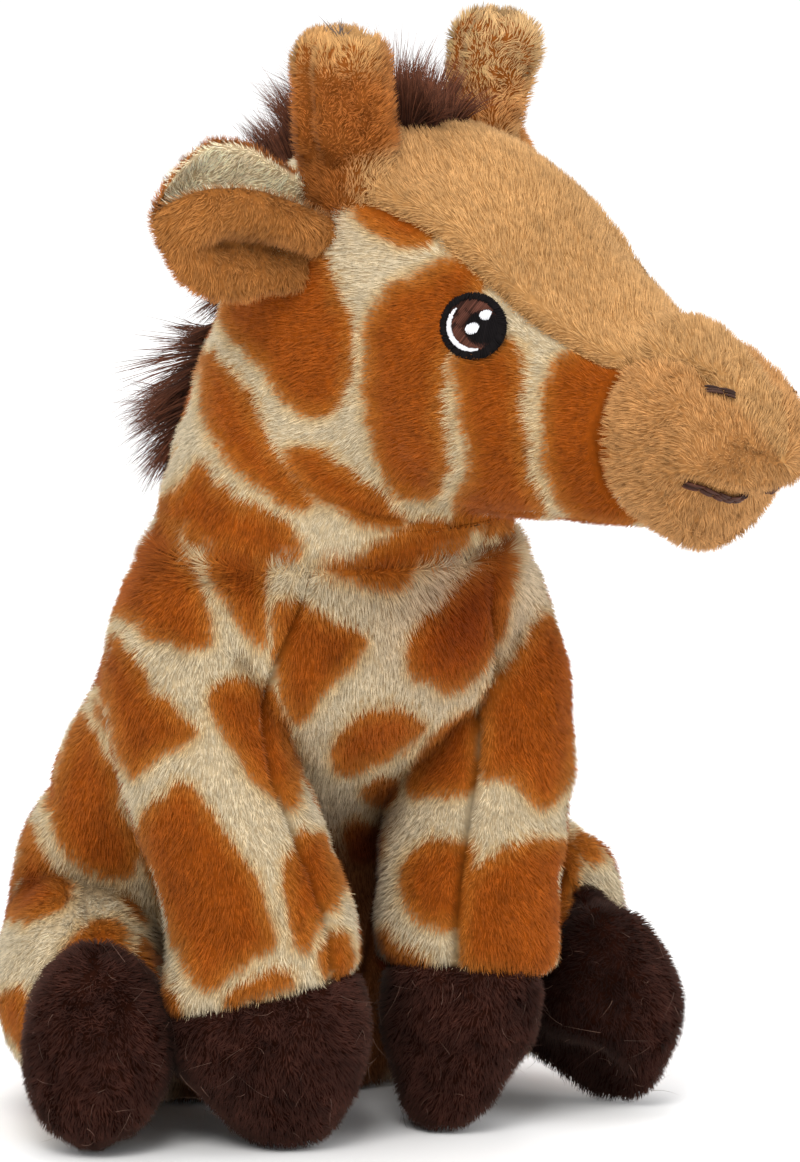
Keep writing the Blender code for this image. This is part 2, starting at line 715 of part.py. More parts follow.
def head_pieces():
    on = "pivot_head"
    P = head_form()
    N = form_normals(P)
    half = HEAD_COLS // 2
    at = {r: i for i, r in enumerate(HEAD_ROWS)}
    crown, jaw, muzzle = at[("fan", 105.0)], at[("run", 30.0)], at[("run", MUZZLE_X)]
    last = len(HEAD_ROWS) - 1
    left = block((2, crown), (0, half)) + block((crown, jaw), (3, half)) + block((jaw, muzzle), (3, 10))
    right = [(i, HEAD_COLS - 1 - j) for i, j in left]
    panel("head_side_panel_left", P, N, left, PLUSH_ORANGE, on)
    panel("head_side_panel_right", P, N, right, PLUSH_ORANGE, on)
    panel("forehead_gusset", P, N, block((crown, muzzle), (-3, 3)), PLUSH_TAN, on)
    panel("chin_gusset", P, N, block((jaw, muzzle), (10, 14)), PLUSH_CREAM, on)
    panel("muzzle_cover", P, N, block((muzzle, last), (0, HEAD_COLS)), PLUSH_TAN, on)
    closed_form("head_stuffing", P, N, SKIN + LAY, FILLING, on)

    # mane: a fur strip set into the seam along the nape, thinner at both ends
    lines = []
    for k in range(10):
        v = 170.0 - k * 7.4
        thick = 4.2 * math.sin(math.pi * (k + 0.9) / 10.8) ** 0.5
        row = []
        for t in (-14.0, 0.0, 14.0):
            edge = 0.45 if t else 1.0
            row.append((surface("fan", v, math.radians(t), 0.5 + thick * edge)[0],
                        surface("fan", v, math.radians(t), 0.5)[0]))
        lines.append(row)
    strip("mane_strip", lines, FUR_BROWN, on)

    for side, s in (("right", -1), ("left", 1)):
        # embroidered eye on the side panel
        c, n = surface("run", 42.5, s * math.radians(74.0), 0.45)
        button(f"eye_embroidery_{side}", c, n, (0, 0, 1), EYE_R, EYE_R, 0.8, THREAD_DARK, on)
        # nostril on the seam over the muzzle
        c, n = surface("run", 78.8, s * math.radians(20.0), 0.5)
        button(f"nostril_embroidery_{side}", c, n, (0, 0, 1), 2.9, 0.8, 0.7, THREAD_DARK, on, 10)
    # mouth: one satin line in the fold round the front of the muzzle
    def mouth_spot(v, side):
        top, bottom, _ = curve_through(HEAD_FRONT, v)
        c = (MOUTH_Z + (87.0 - v) * 0.28 - (top + bottom) / 2) * 2 / (top - bottom)
        return side * math.acos(max(-1.0, min(1.0, c)))

    tips = (78.6, 80.4, 82.2, 83.8, 85.0, 86.0, 86.6)
    spots = [(v, mouth_spot(v, -1)) for v in tips] + [(86.75, math.pi)]
    spots += [(v, mouth_spot(v, 1)) for v in tips[::-1]]
    lines = []
    for v, t in spots:
        p, n = surface("run", v, t, 0.5)
        up = np.array([0.0, 0.0, 1.0])
        up = up - n * up.dot(n)
        up /= np.linalg.norm(up)
        lines.append([(p + up * w + n * 0.7, p + up * w) for w in (-0.6, 0.6)])
    strip("mouth_embroidery", lines, THREAD_DARK, on)


def post(name, base, axis, rows, cols, inset, mat, on, aim, open_end=False):
    """A round-ended post; rows are (distance, half-width across, half-width along aim)."""
    axis = np.array(axis) / np.linalg.norm(axis)
    aim = np.array(aim, float) - axis * np.dot(aim, axis)
    aim /= np.linalg.norm(aim)
    side = np.cross(axis, aim)
    P = np.zeros((len(rows), cols, 3))
    for i, (d, a, b) in enumerate(rows):
        for j in range(cols):
            t = 2 * math.pi * j / cols
            P[i, j] = np.array(base) + axis * d + aim * b * math.cos(t) + side * a * math.sin(t)
    N = form_normals(P)
    if open_end:
        return panel(name, P, N, block((1, len(rows) - 1), (0, cols)), mat, on, skin=1.0)
    return closed_form(name, P, N, inset, mat, on)


HORN_AT = (16.5, 19.0, 152.6)      # forward, to the side, up
HORN_LEAN = (0.06, 0.14, 1.0)
EAR_AT = (10.5, 24.8, 143.6)
EAR_AIM = (-0.60, 0.78, 0.16)
EAR_GAP = 1.5                      # free space at the root, so the ear can flop


def horn_pieces(side, s):
    on = f"pivot_horn_{side}"
    f, l, z = HORN_AT
    base = head_point(f, s * l, z)
    axis = head_dir(HORN_LEAN[0], s * HORN_LEAN[1], HORN_LEAN[2])
    lo = 2.6
    rows = [(lo - 0.3, 0, 0), (lo, 3.4, 3.4), (lo + 1.4, 5.8, 5.8), (lo + 4.0, 6.5, 6.7),
            (11.0, 6.7, 7.2), (17.0, 7.0, 7.7), (21.0, 6.7, 7.4), (23.6, 5.0, 5.4),
            (24.8, 2.4, 2.6), (25.0, 0, 0)]
    post(f"horn_cover_{side}", base, axis, rows, 14, 0, PLUSH_TAN, on, head_dir(1, 0, 0), True)
    post(f"horn_filling_{side}", base, axis, rows, 14, 1.3, FILLING, on, head_dir(1, 0, 0))


def ear_pieces(side, s):
    """A cupped leaf in two layers, open upwards, its back wall higher."""
    on = f"pivot_ear_{side}"
    root = head_point(EAR_AT[0], s * EAR_AT[1], EAR_AT[2])
    axis = head_dir(EAR_AIM[0], s * EAR_AIM[1], EAR_AIM[2])
    axis /= np.linalg.norm(axis)
    back = head_dir(-0.76, -s * 0.64, 0.0)
    back -= axis * back.dot(axis)
    back /= np.linalg.norm(back)
    up = np.cross(axis, back)
    if up[2] < 0:
        up = -up

    def lines(r_in, r_out):
        out = []
        for k in range(9):
            t = k / 8
            d = EAR_GAP + 0.6 + (EAR_LEN - 2.0) * t
            full = math.sin(math.pi * min(1.0, 0.17 + 0.76 * t)) ** 0.75
            tall, deep = 2.2 + 8.6 * full, 1.6 + 4.6 * full
            row = []
            for m in range(11):
                a = math.radians(-112.0 + 254.0 * m / 10)     # front rim, fold, back rim
                tip = (0.0, 1.6, 3.4, 4.6)[max(0, m - 7)] * full
                c = np.array(root) + axis * d + up * 1.5
                pair = []
                for r in (r_out, r_in):
                    pair.append(c + back * (deep + r) * math.sin(a) - up * (tall + tip + r) * math.cos(a))
                row.append(pair)
            out.append(row)
        return out

    strip(f"ear_outer_{side}", lines(0.2, 1.2), PLUSH_TAN, on)
    strip(f"ear_lining_{side}", lines(-1.0, -0.1), PLUSH_CREAM, on)


# ---------------------------------------------------------------------- neck
def neck_ring():
    """The closing seam between body and neck: a flat gathered ring."""
    n = 36
    verts, faces = [], []
    prof = [(26.35, 91.3), (27.0, 91.1), (27.7, 91.5), (27.7, 93.0), (27.0, 93.4), (26.5, 93.1)]
    for j in range(n):
        t = 2 * math.pi * j / n
        for r, z in prof:
            verts.append((NECK[0] + r * math.sin(t), NECK[1] - r * math.cos(t), z))
    m = len(prof)
    for j in range(n):
        k = (j + 1) % n
        for a in range(m):
            b = (a + 1) % m
            faces.append([j * m + a, k * m + a, k * m + b, j * m + b][::-1])
    V = np.array(verts)
    vol = sum(np.dot(V[f[0]], np.cross(V[f[k]], V[f[k + 1]])) for f in faces for k in (1, 2))
    if vol < 0:
        faces = [f[::-1] for f in faces]
    make("neck_closing_seam", verts, faces, THREAD_SEAM, "pivot_neck")


# ---------------------------------------------------------------------- tail
TAIL_ROOT = (0.0, 47.6, 36.0)


def tail_pieces():
    on = "pivot_tail"
    aim = np.array([0.0, 0.34, -1.0])
    aim /= np.linalg.norm(aim)
    rows = [(0.0, 0, 0), (0.2, 1.8, 1.8), (1.2, 2.6, 2.6), (8.0, 2.7, 2.7), (15.0, 2.5, 2.5),
            (19.6, 2.2, 2.2), (20.0, 0, 0)]
    post("tail_sleeve", TAIL_ROOT, aim, rows, 10, 0, PLUSH_ORANGE, on, (0, 1, 0))
    rows = [(20.5, 0, 0), (20.9, 2.4, 2.4), (23.0, 4.2, 3.8), (26.5, 4.6, 4.2), (30.0, 3.2, 3.0),
            (32.6, 1.2, 1.2), (33.2, 0, 0)]
    post("tail_tuft", TAIL_ROOT, aim, rows, 10, 0, FUR_BROWN, on, (0, 1, 0))


# --------------------------------------------------------------------- build
def main():
    clear_scene()
    pivot("pivot_neck", (NECK[0], NECK[1], 92.0))
    pivot("pivot_head", NECK, "pivot_neck")
    for side, s in (("right", -1), ("left", 1)):
        pivot(f"pivot_shoulder_{side}", (s * SHOULDER[0], SHOULDER[1], SHOULDER[2]))
        pivot(f"pivot_hip_{side}", (s * HIP[0], HIP[1], HIP[2]))
        f, l, z = HORN_AT
        pivot(f"pivot_horn_{side}", head_point(f, s * l, z + 2.0), "pivot_head")
        f, l, z = EAR_AT
        pivot(f"pivot_ear_{side}", head_point(f, s * l, z), "pivot_head")
    pivot("pivot_tail", TAIL_ROOT)

    torso_pieces()
    neck_ring()
    for side in ("right", "left"):
        leg_pieces(side, "front")
        leg_pieces(side, "hind")
    head_pieces()
    for side, s in (("right", -1), ("left", 1)):
        horn_pieces(side, s)
        ear_pieces(side, s)
    tail_pieces()


main()
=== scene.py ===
"""Looks of the seated plush giraffe: skins, pile, mane, embroidery, seams, light.

Lengths are in millimetres in the drawing frame of the toy (upright axis through
the front of the seat) until a mesh is made, and then in metres in the toy's own
frame, whose origin is the middle of the flat seat panel.
"""
import math

import bpy
import numpy as np
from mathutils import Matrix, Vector
from mathutils.bvhtree import BVHTree

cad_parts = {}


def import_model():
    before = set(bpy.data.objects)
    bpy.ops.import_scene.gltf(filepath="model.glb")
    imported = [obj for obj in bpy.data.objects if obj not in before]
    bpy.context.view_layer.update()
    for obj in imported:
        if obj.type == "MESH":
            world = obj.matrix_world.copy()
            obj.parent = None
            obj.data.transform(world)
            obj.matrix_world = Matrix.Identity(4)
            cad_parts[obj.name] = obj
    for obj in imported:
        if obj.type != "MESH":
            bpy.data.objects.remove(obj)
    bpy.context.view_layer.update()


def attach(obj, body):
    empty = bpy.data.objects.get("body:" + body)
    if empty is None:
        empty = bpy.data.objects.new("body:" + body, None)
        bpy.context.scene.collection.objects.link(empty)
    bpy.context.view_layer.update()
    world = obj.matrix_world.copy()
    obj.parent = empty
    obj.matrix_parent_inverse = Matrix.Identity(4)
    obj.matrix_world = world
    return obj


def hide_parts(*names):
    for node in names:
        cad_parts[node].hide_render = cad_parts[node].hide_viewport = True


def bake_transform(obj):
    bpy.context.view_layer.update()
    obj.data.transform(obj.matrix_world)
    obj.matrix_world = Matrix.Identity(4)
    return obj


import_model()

SEAT_MID = np.array([0.0, 17.0, 0.0])
RNG = np.random.default_rng(41)
DENSE = 1.0
INSET = 1.15                      # the pile fills the space up to the toy's outline

# ------------------------------------------------------------------ dimensions
HEAD_TURN = math.radians(30.0)
NECK = np.array([0.0, -10.0, 100.0])
NECK_R = 28.3
RIM_Z, RIM_R = 90.6, 29.2
SHOULDER = (25.0, -14.0, 63.0)
HIP = (32.0, 14.5, 21.0)
HIP_R, HIP_HALF_H = 13.0, 20.0
HIND_AIM = (11.6, -28.0)
HOOF_Z, HIND_HOOF_X = 23.0, 27.0
EYE_R = 5.25

# z, half-width, front y, back y
TORSO = [
    (0.0, 30.0, 7.5, 36.0), (2.5, 34.0, 5.0, 39.5), (9.0, 39.0, 2.5, 43.5), (20.0, 42.0, 0.0, 46.0),
    (36.0, 41.5, -3.5, 44.5), (46.0, 40.2, -9.5, 41.2), (54.0, 38.8, -17.5, 38.0), (62.0, 37.0, -25.5, 34.0),
    (72.0, 34.6, -34.5, 28.7), (80.0, 34.0, -37.0, 25.6), (86.0, 32.8, -38.2, 23.4),
    (RIM_Z, RIM_R, -10.0 - RIM_R, -10.0 + RIM_R),
]
TORSO_AXIS = [(0.0, 17.0), (40.0, 16.0), (60.0, 9.0), (75.0, 0.0), (86.0, -8.0), (RIM_Z, -10.0)]
# z, centre x, centre y, half-width x, half-width y
LEG_UP = [
    (38.0, 18.4, -20.8, 15.4, 15.6), (50.0, 21.6, -17.6, 15.4, 15.6), (63.0, 24.4, -14.8, 14.6, 15.2),
    (70.0, 24.2, -13.8, 13.8, 15.0), (76.0, 23.0, -13.2, 12.4, 14.2), (82.0, 21.2, -13.0, 9.6, 11.5),
    (86.5, 20.0, -12.8, 5.6, 7.0), (88.5, 19.6, -12.6, 0.0, 0.0),
]
FRONT_LEG = {
    -1: [(0.0, 15.4, -23.6, 4.6, 5.6), (1.2, 15.4, -23.6, 6.8, 8.0), (4.0, 15.6, -23.5, 9.8, 10.8),
         (9.0, 16.0, -23.3, 12.8, 13.5), (15.0, 16.2, -23.0, 14.4, 14.8), (24.0, 16.6, -22.6, 14.6, 14.8)] + LEG_UP,
    1: [(0.0, 11.8, -23.6, 2.8, 3.8), (1.2, 12.0, -23.6, 4.8, 6.0), (4.0, 12.5, -23.5, 7.1, 8.4),
        (9.0, 13.7, -23.3, 9.3, 10.5), (15.0, 15.2, -23.0, 11.2, 12.2), (22.0, 16.4, -22.7, 12.4, 13.4),
        (27.0, 17.0, -22.4, 14.5, 14.8)] + LEG_UP,
}
# distance from the hip towards the toe, half-width, half-height, centre z
HIND_LEG = [
    (0.0, HIP_R, HIP_HALF_H, 20.5), (10.0, 14.0, 19.3, 18.8), (20.0, 13.6, 17.4, 16.8),
    (27.0, 13.1, 16.4, 15.7), (34.0, 12.7, 15.9, 15.2), (40.0, 10.6, 13.6, 13.6),
    (44.0, 6.6, 8.8, 12.4), (46.0, 0.0, 0.0, 11.5),
]
FAN, FAN_R = (30.0, 97.5), 1.0
HEAD_BACK = [
    (90.0, 60.3, 27.4), (105.0, 65.0, 27.4), (120.0, 66.0, 26.6), (135.0, 61.4, 25.8),
    (150.0, 57.0, 25.8), (165.0, 56.6, 26.4), (180.0, 58.8, 27.8),
]
HEAD_FRONT = [
    (30.0, 157.8, 98.5, 27.4), (37.0, 153.6, 98.7, 26.8), (43.0, 148.2, 99.0, 25.2),
    (49.0, 142.2, 99.4, 22.9), (55.0, 137.8, 99.6, 20.2), (61.0, 134.2, 99.8, 17.9),
    (65.0, 134.2, 99.7, 17.2), (70.5, 131.5, 98.1, 18.1), (76.2, 127.5, 98.2, 17.5),
    (80.6, 122.3, 101.2, 14.8), (83.8, 117.2, 106.8, 9.6), (85.4, 112.5, 112.5, 0.0),
]
MUZZLE_X, MOUTH_Z = 63.2, 107.4
EYE_F, EYE_TH = 42.5, 67.8
NOSTRIL = ((76.5, 32.5), (79.4, 18.5))     # run and angle of its two ends
HORN_AT, HORN_LEAN = (13.6, 16.6, 154.0), (0.06, 0.14, 1.0)
EAR_AT, EAR_AIM, EAR_LEN = (10.5, 24.8, 143.6), (-0.60, 0.78, 0.16), 24.0
TAIL_ROOT = np.array([0.0, 47.6, 36.0])
GUSSET = math.radians(33.75)      # half-angle of the chest gusset

# Direction of the three-quarter front view, and the plane that faces it
VIEW_AZ, VIEW_EL = math.radians(-25.0), math.radians(10.0)
VIEW = np.array([math.sin(VIEW_AZ) * math.cos(VIEW_EL), -math.cos(VIEW_AZ) * math.cos(VIEW_EL),
                 math.sin(VIEW_EL)])
VIEW_RIGHT = np.array([math.cos(VIEW_AZ), math.sin(VIEW_AZ), 0.0])
VIEW_UP = np.cross(VIEW, VIEW_RIGHT)

# Outlines of the coat's patches, drawn in mm on that plane (right, up)
PATCHES = [
    # side_1
    [(-25.4, 95.1), (-22, 94), (-19.8, 91.5), (-17.9, 87.4), (-16.6, 85.2), (-14.9, 79.3), (-14.4, 75), (-14.9,
     72.7), (-18.3, 72.2), (-22, 73.8), (-25, 75.4), (-27.3, 77.1), (-31.1, 79.2), (-31.1, 86.1), (-29.2,
     91.6)],
    # side_2
    [(-18.3, 91), (-16.1, 88.2), (-14.7, 85.5), (-13.4, 81.1), (-10.7, 76.6), (-8.1, 73), (-6.5, 72.7), (-6,
     76.6), (-6, 81.1), (-6.2, 85), (-6.2, 87.7), (-10.1, 90.1), (-14.9, 91.2)],
    # side_3
    [(-32.6, 75.8), (-29.2, 75.5), (-26.5, 71.8), (-23.5, 66.4), (-18.4, 62), (-16.4, 59.7), (-17.7, 58.3),
     (-21.8, 56.8), (-24.5, 54.9), (-26.8, 52.7), (-28.9, 55.6), (-30.6, 61), (-31.9, 67), (-32.9, 71.8)],
    # side_4
    [(-15.5, 66.2), (-12.3, 68.4), (-8.3, 67.7), (-4.6, 66.4), (-2.9, 61), (-1.1, 55.6), (-1.4, 51.5), (-2.1,
     47.1), (-5.6, 49.1), (-9, 52.9), (-12.3, 58.3), (-14.9, 62.3)],
    # side_5
    [(-27, 45.4), (-24.5, 48.8), (-21.1, 52), (-18.4, 52.6), (-16, 49.5), (-12.9, 44.8), (-8.8, 39.4), (-6.3,
     33.3), (-4.6, 27.3), (-6.3, 25.5), (-11, 23.2), (-15, 19.3), (-17.2, 20.5), (-19.8, 25.9), (-22.5, 31.3),
     (-24.5, 36.7), (-26.6, 41.4)],
    # side_6
    [(-0.9, 44.8), (2.5, 44.9), (4.4, 41.4), (5.1, 36), (4.3, 32.3), (2.2, 30.9), (0.5, 27.5), (-0.2, 25.5),
     (-2.2, 27.1), (-3.4, 31.3), (-3.9, 37.7), (-2.9, 41.7)],
    # side_7
    [(2.2, 27.9), (6.2, 29.6), (7.9, 22.5), (6.2, 20.1), (2.9, 21.3), (1.8, 24.5)],
    # side_8
    [(-13.1, 19.1), (-9, 21.7), (-4.9, 22.7), (-2.3, 23), (-2.1, 20.6), (-6.3, 19.2), (-11.3, 17.4), (-13.1,
     17.4)],
    # side_9
    [(-27, 28.4), (-24.8, 26.4), (-23.1, 24.2), (-21.3, 21), (-19.4, 16.6), (-20.4, 14.1), (-23.5, 15), (-26.4,
     19.8)],
    # chest_1
    [(-5.6, 80.7), (-0.9, 79.9), (5.9, 77.2), (9.4, 74.6), (8.6, 71.6), (5.2, 68.4), (1.2, 63.7), (-1.4, 60.8),
     (-3, 62), (-4.2, 67), (-5.2, 71.8)],
    # chest_2
    [(0.6, 86.1), (4.9, 86.6), (7.3, 87.4), (10.9, 89.4), (16.4, 91.8), (20.7, 93.1), (25.8, 92.4), (25.9,
     90.7), (22.1, 87.7), (18.3, 85.5), (13.7, 82.2), (10.9, 81.5), (7.3, 82.8), (2.5, 84.5)],
    # chest_3
    [(17.4, 76.5), (21.4, 81.1), (26.1, 86.5), (30.2, 90.3), (31.9, 86.6), (31.2, 78.5), (29.7, 73.1), (26.3,
     68.4), (22.8, 65.7), (19.4, 66.7), (15.9, 69.1), (14.9, 72.6)],
    # chest_4
    [(3.2, 57.7), (5.9, 61), (9.3, 63.7), (14, 64.1), (18.9, 61.6), (18.7, 59.5), (14.7, 56.2), (9.9, 54.2),
     (5.9, 52.7), (4, 54.1)],
    # chest_5
    [(8.1, 50.7), (12, 52.9), (15, 52.2), (13.5, 48.7), (9.9, 48.3)],
    # chest_6
    [(5.2, 44.8), (8.6, 46.4), (12, 44.8), (12.6, 40.7), (8.6, 39.4), (5.6, 40.7)],
    # left_1
    [(37.6, 79.2), (41.7, 73.1), (42.7, 68.4), (42.7, 58.3), (41.3, 52.9), (38.6, 48.7), (35.6, 47.3), (32.9,
     51.2), (30.2, 52.7), (27, 52), (27, 58.3), (26.7, 65), (29.9, 69.1), (33.4, 73.1), (35.6, 77.8)],
    # left_2
    [(17.4, 56.4), (20.7, 60.5), (23.1, 62.7), (26.7, 64), (27, 58.3), (26.9, 51.7), (25.1, 49.5), (20.7, 49.8),
     (16.4, 49.1), (15.5, 51.4)],
    # left_3
    [(14.9, 39.8), (17.5, 42.5), (22.3, 42.8), (26.1, 42.2), (26.1, 38.7), (25.8, 34), (26.1, 28.4), (19.1,
     29.1), (15.8, 31.9), (14.5, 35.9)],
    # left_4
    [(23.7, 37.4), (26.1, 38.4), (28.6, 40.6), (31.4, 42.2), (35.7, 43.5), (39.7, 43.1), (42.3, 41.9), (42.5,
     37.1), (41.6, 31.6), (40.8, 26.1), (39, 19.8), (34.9, 20.4), (30.2, 21.3), (23.5, 22.9), (23.2, 27.6),
     (23.2, 32.4)],
    # left_5
    [(10.6, 30), (12.5, 28.9), (14.4, 27), (17.5, 25.4), (20.1, 23.5), (18.8, 21), (10.6, 22)],
    # left_6
    [(41.7, 47.5), (45, 42.1), (43.7, 39.4), (41.7, 40)],
    # hip_l1
    [(43, 45.4), (46.7, 39.4), (45, 38.5), (42, 39.4)],
    # hip_l2
    [(41, 32.3), (45.7, 32.9), (46.4, 31.6), (41.7, 30.2)],
    # hip_1
    [(-34.9, 63.7), (-37.2, 58.7), (-39.2, 53.6), (-40.5, 50.1), (-39.7, 45), (-38.7, 42), (-35.6, 38.8),
     (-32.1, 36.5), (-28.6, 36.8), (-26.5, 38.3), (-26.1, 42), (-28.1, 46), (-29.1, 50.1), (-29.7, 53.6), (-31.6,
     57.7), (-33.6, 61.7)],
    # hip_2
    [(-43.3, 46), (-45, 42), (-46.3, 35.9), (-47.1, 30.9), (-44.8, 29.7), (-41.2, 30.3), (-37.7, 31.8), (-36.3,
     33.9), (-38.7, 36.9), (-40.7, 40), (-42, 43)],
    # hip_3
    [(-33.6, 29.8), (-36.7, 27.7), (-38.3, 24.5), (-37.2, 22.8), (-32.1, 22.8), (-27.3, 23.3), (-28, 27.8),
     (-30.1, 30.4)],
    # hip_4
    [(-29.1, 34.5), (-27.1, 32.9), (-25.8, 29.8), (-27.6, 30.2), (-29.3, 32.8)],
    # hip_5
    [(-48.3, 19.2), (-45.8, 20.6), (-43.3, 19.7), (-42.8, 14.7), (-43.8, 10.1), (-46.8, 12.1), (-48.6, 15.7)],
    # hip_6
    [(-32.7, 65.8), (-31.4, 63.7), (-30.2, 60.2), (-31.1, 59.4), (-32.4, 62.7)],
    # head_1
    [(5.8, 142.9), (9.3, 142.8), (14.8, 142.9), (20.9, 142.2), (22.5, 140.1), (21.4, 137.3), (19.6, 134.9),
     (16.7, 133.4), (14.4, 133.8), (11.6, 135.9), (8.8, 138.2), (7.3, 140.1)],
    # head_2
    [(-13.4, 125.8), (-11.1, 128.5), (-6.5, 131.8), (-0.9, 133.6), (2.8, 134), (4.7, 130.9), (6, 126.2), (7.6,
     123), (7.7, 116.5), (7.1, 112.8), (5.7, 109.5), (2.8, 107.8), (0, 108.5), (-2.8, 110.4), (-5.5, 113.6),
     (-6.9, 116.5), (-9.3, 118.2), (-11.1, 120.2), (-12.9, 123)],
    # head_3
    [(26.4, 132.9), (24.1, 133.3), (21.3, 132.2), (19, 130.4), (14.8, 129), (12.1, 127.5), (10.4, 124.8), (9.3,
     120.2), (9, 113.7), (9.7, 106.8), (11.1, 101.7), (12.6, 97.9), (15.3, 95.8), (19, 95.5), (21.3, 96.2),
     (22.3, 99.8), (22, 104.4), (21.4, 110), (21.6, 114.2), (22.6, 118.3), (24.6, 120.2), (26.4, 123.9), (27.8,
     128.5), (27.6, 131.8)],
    # head_4
    [(23.4, 118.3), (26, 118.3), (28.8, 118.8), (31.2, 120.4), (32.9, 119.3), (33.6, 116.5), (33.6, 110.9),
     (34.3, 105.4), (34.9, 99.8), (36.3, 96), (38.1, 91), (30.6, 90.8), (22.2, 90.8), (23.2, 95.2), (24.8, 98.4),
     (25.4, 101.7), (24.9, 105.4), (23.7, 109.1), (23.2, 112.8), (22.8, 115.6)],
    # head_5
    [(38.1, 116.5), (41.3, 118.3), (44.5, 119.4), (48.2, 118.3), (52.9, 116), (51, 112.8), (49.6, 106.8), (49.1,
     102.1), (50.1, 96.6), (51.9, 91), (42.3, 91), (39.4, 94.6), (38, 97), (36.7, 101.2), (36.3, 105.8), (36.4,
     111.4)],
    # neck_1
    [(-16, 119.7), (-13, 117.3), (-10.1, 114.1), (-7.8, 110.5), (-6.4, 106.8), (-4.5, 103), (-2.2, 100.3),
     (-0.4, 97.5), (2, 94.6), (0, 93.9), (-3.2, 94.8), (-6.9, 96.9), (-10.6, 99.7), (-13.4, 103), (-15.4, 106.8),
     (-16.3, 110.9), (-16.4, 115.6)],
    # neck_2
    [(-2.9, 103.6), (-0.5, 104.2), (2.8, 103.6), (5.7, 101.2), (8.4, 98.9), (12.2, 96.8), (14.2, 94.6), (16,
     92.4), (14.8, 91.2), (12.1, 91), (8.4, 92.1), (4.6, 93.7), (1.4, 95.5), (-0.9, 97.9), (-2.6, 100.7)],
    # neck_3
    [(-16.7, 101.9), (-15.5, 101.6), (-13.7, 98.8), (-11.4, 96.5), (-8.5, 95), (-5.8, 93.9), (-3, 92), (-1.1,
     90.1), (-0.3, 87.7), (-1.1, 86.3), (-6.2, 86.1), (-12.5, 87.4), (-17.2, 89), (-19.8, 91.2), (-23.5, 93.4),
     (-25.8, 94.3), (-26.7, 95.6), (-23.5, 96.4), (-20.7, 97.2), (-18.8, 99.5)],
    # band_1
    [(-0.5, 147.1), (3.3, 146.6), (3, 143.4), (2.3, 139.2), (2.8, 135.5), (-0.9, 133.6), (-2.8, 135.5), (-0.9,
     140.6)],
]

# Colours, linear
ORANGE = np.array([0.372, 0.090, 0.0095])
ORANGE_EDGE = np.array([0.540, 0.200, 0.032])
CREAM = np.array([0.718, 0.610, 0.428])
CREAM_EDGE = np.array([0.700, 0.460, 0.180])
TAN = np.array([0.600, 0.335, 0.135])
TAN_MUZZLE = np.array([0.590, 0.300, 0.112])
TAN_EAR = np.array([0.518, 0.215, 0.059])
HORN = np.array([0.480, 0.160, 0.034])
HORN_TOP = np.array([0.600, 0.330, 0.125])
LINING = np.array([1.000, 0.865, 0.625])
DARK = np.array([0.032, 0.0108, 0.0072])
MANE = np.array([0.086, 0.029, 0.0145])


# --------------------------------------------------------------------- helpers
def curve(stations, x):
    """Smooth curve through (x, value...) stations, with no overshoot; x is an array."""
    st = np.array(stations, float)
    xs, ys = st[:, 0], st[:, 1:]
    slope = np.diff(ys, axis=0) / np.diff(xs)[:, None]
    m = np.zeros_like(ys)
    m[0], m[-1] = slope[0], slope[-1]
    a, b = slope[:-1], slope[1:]
    same = (a * b) > 0
    m[1:-1] = np.where(same, 2 * a * b / np.where(same, a + b, 1), 0)
    x = np.clip(np.asarray(x, float), xs[0], xs[-1])
    k = np.clip(np.searchsorted(xs, x, side="right") - 1, 0, len(xs) - 2)
    d = (xs[k + 1] - xs[k])
    t = ((x - xs[k]) / d)[..., None]
    d = d[..., None]
    h00, h10 = 2 * t**3 - 3 * t**2 + 1, t**3 - 2 * t**2 + t
    h01, h11 = -2 * t**3 + 3 * t**2, t**3 - t**2
    return h00 * ys[k] + h10 * d * m[k] + h01 * ys[k + 1] + h11 * d * m[k + 1]


def step(x, a, b):
    """0 before a, 1 after b, smooth in between."""
    t = np.clip((x - a) / (b - a), 0, 1)
    return t * t * (3 - 2 * t)


def unit(v):
    n = np.linalg.norm(v, axis=-1, keepdims=True)
    return v / np.where(n > 1e-9, n, 1)


def noise(p, size, seed=0):
    """Smooth value noise from -1 to 1 at points p (mm), with cells of the given size."""
    q = np.asarray(p, float) / size + 913.7
    i = np.floor(q).astype(np.int64)
    f = q - i
    f = f * f * (3 - 2 * f)

    def corner(dx, dy, dz):
        h = ((i[..., 0] + dx) * 73856093) ^ ((i[..., 1] + dy) * 19349663) ^ ((i[..., 2] + dz) * 83492791)
        h = (h ^ (seed * 7919 + 12345)) & 0x7FFFFFFF
        h = ((h ^ (h >> 13)) * 1274126177) & 0x7FFFFFFF
        h = h ^ (h >> 15)
        return (h & 0xFFFF) / 65535.0

    fx, fy, fz = f[..., 0], f[..., 1], f[..., 2]
    out = 0
    for dx in (0, 1):
        for dy in (0, 1):
            for dz in (0, 1):
                w = (fx if dx else 1 - fx) * (fy if dy else 1 - fy) * (fz if dz else 1 - fz)
                out = out + w * corner(dx, dy, dz)
    return out * 2 - 1


def head_point(q):
    """From the head's own frame (forward, to its left, up) to the toy's frame."""
    s, c = math.sin(HEAD_TURN), math.cos(HEAD_TURN)
    q = np.asarray(q, float)
    return np.stack([NECK[0] + q[..., 0] * s + q[..., 1] * c,
                     NECK[1] - q[..., 0] * c + q[..., 1] * s, q[..., 2]], axis=-1)


def head_dir(f, l, z):
    return head_point((f, l, z)) - head_point((0, 0, 0))


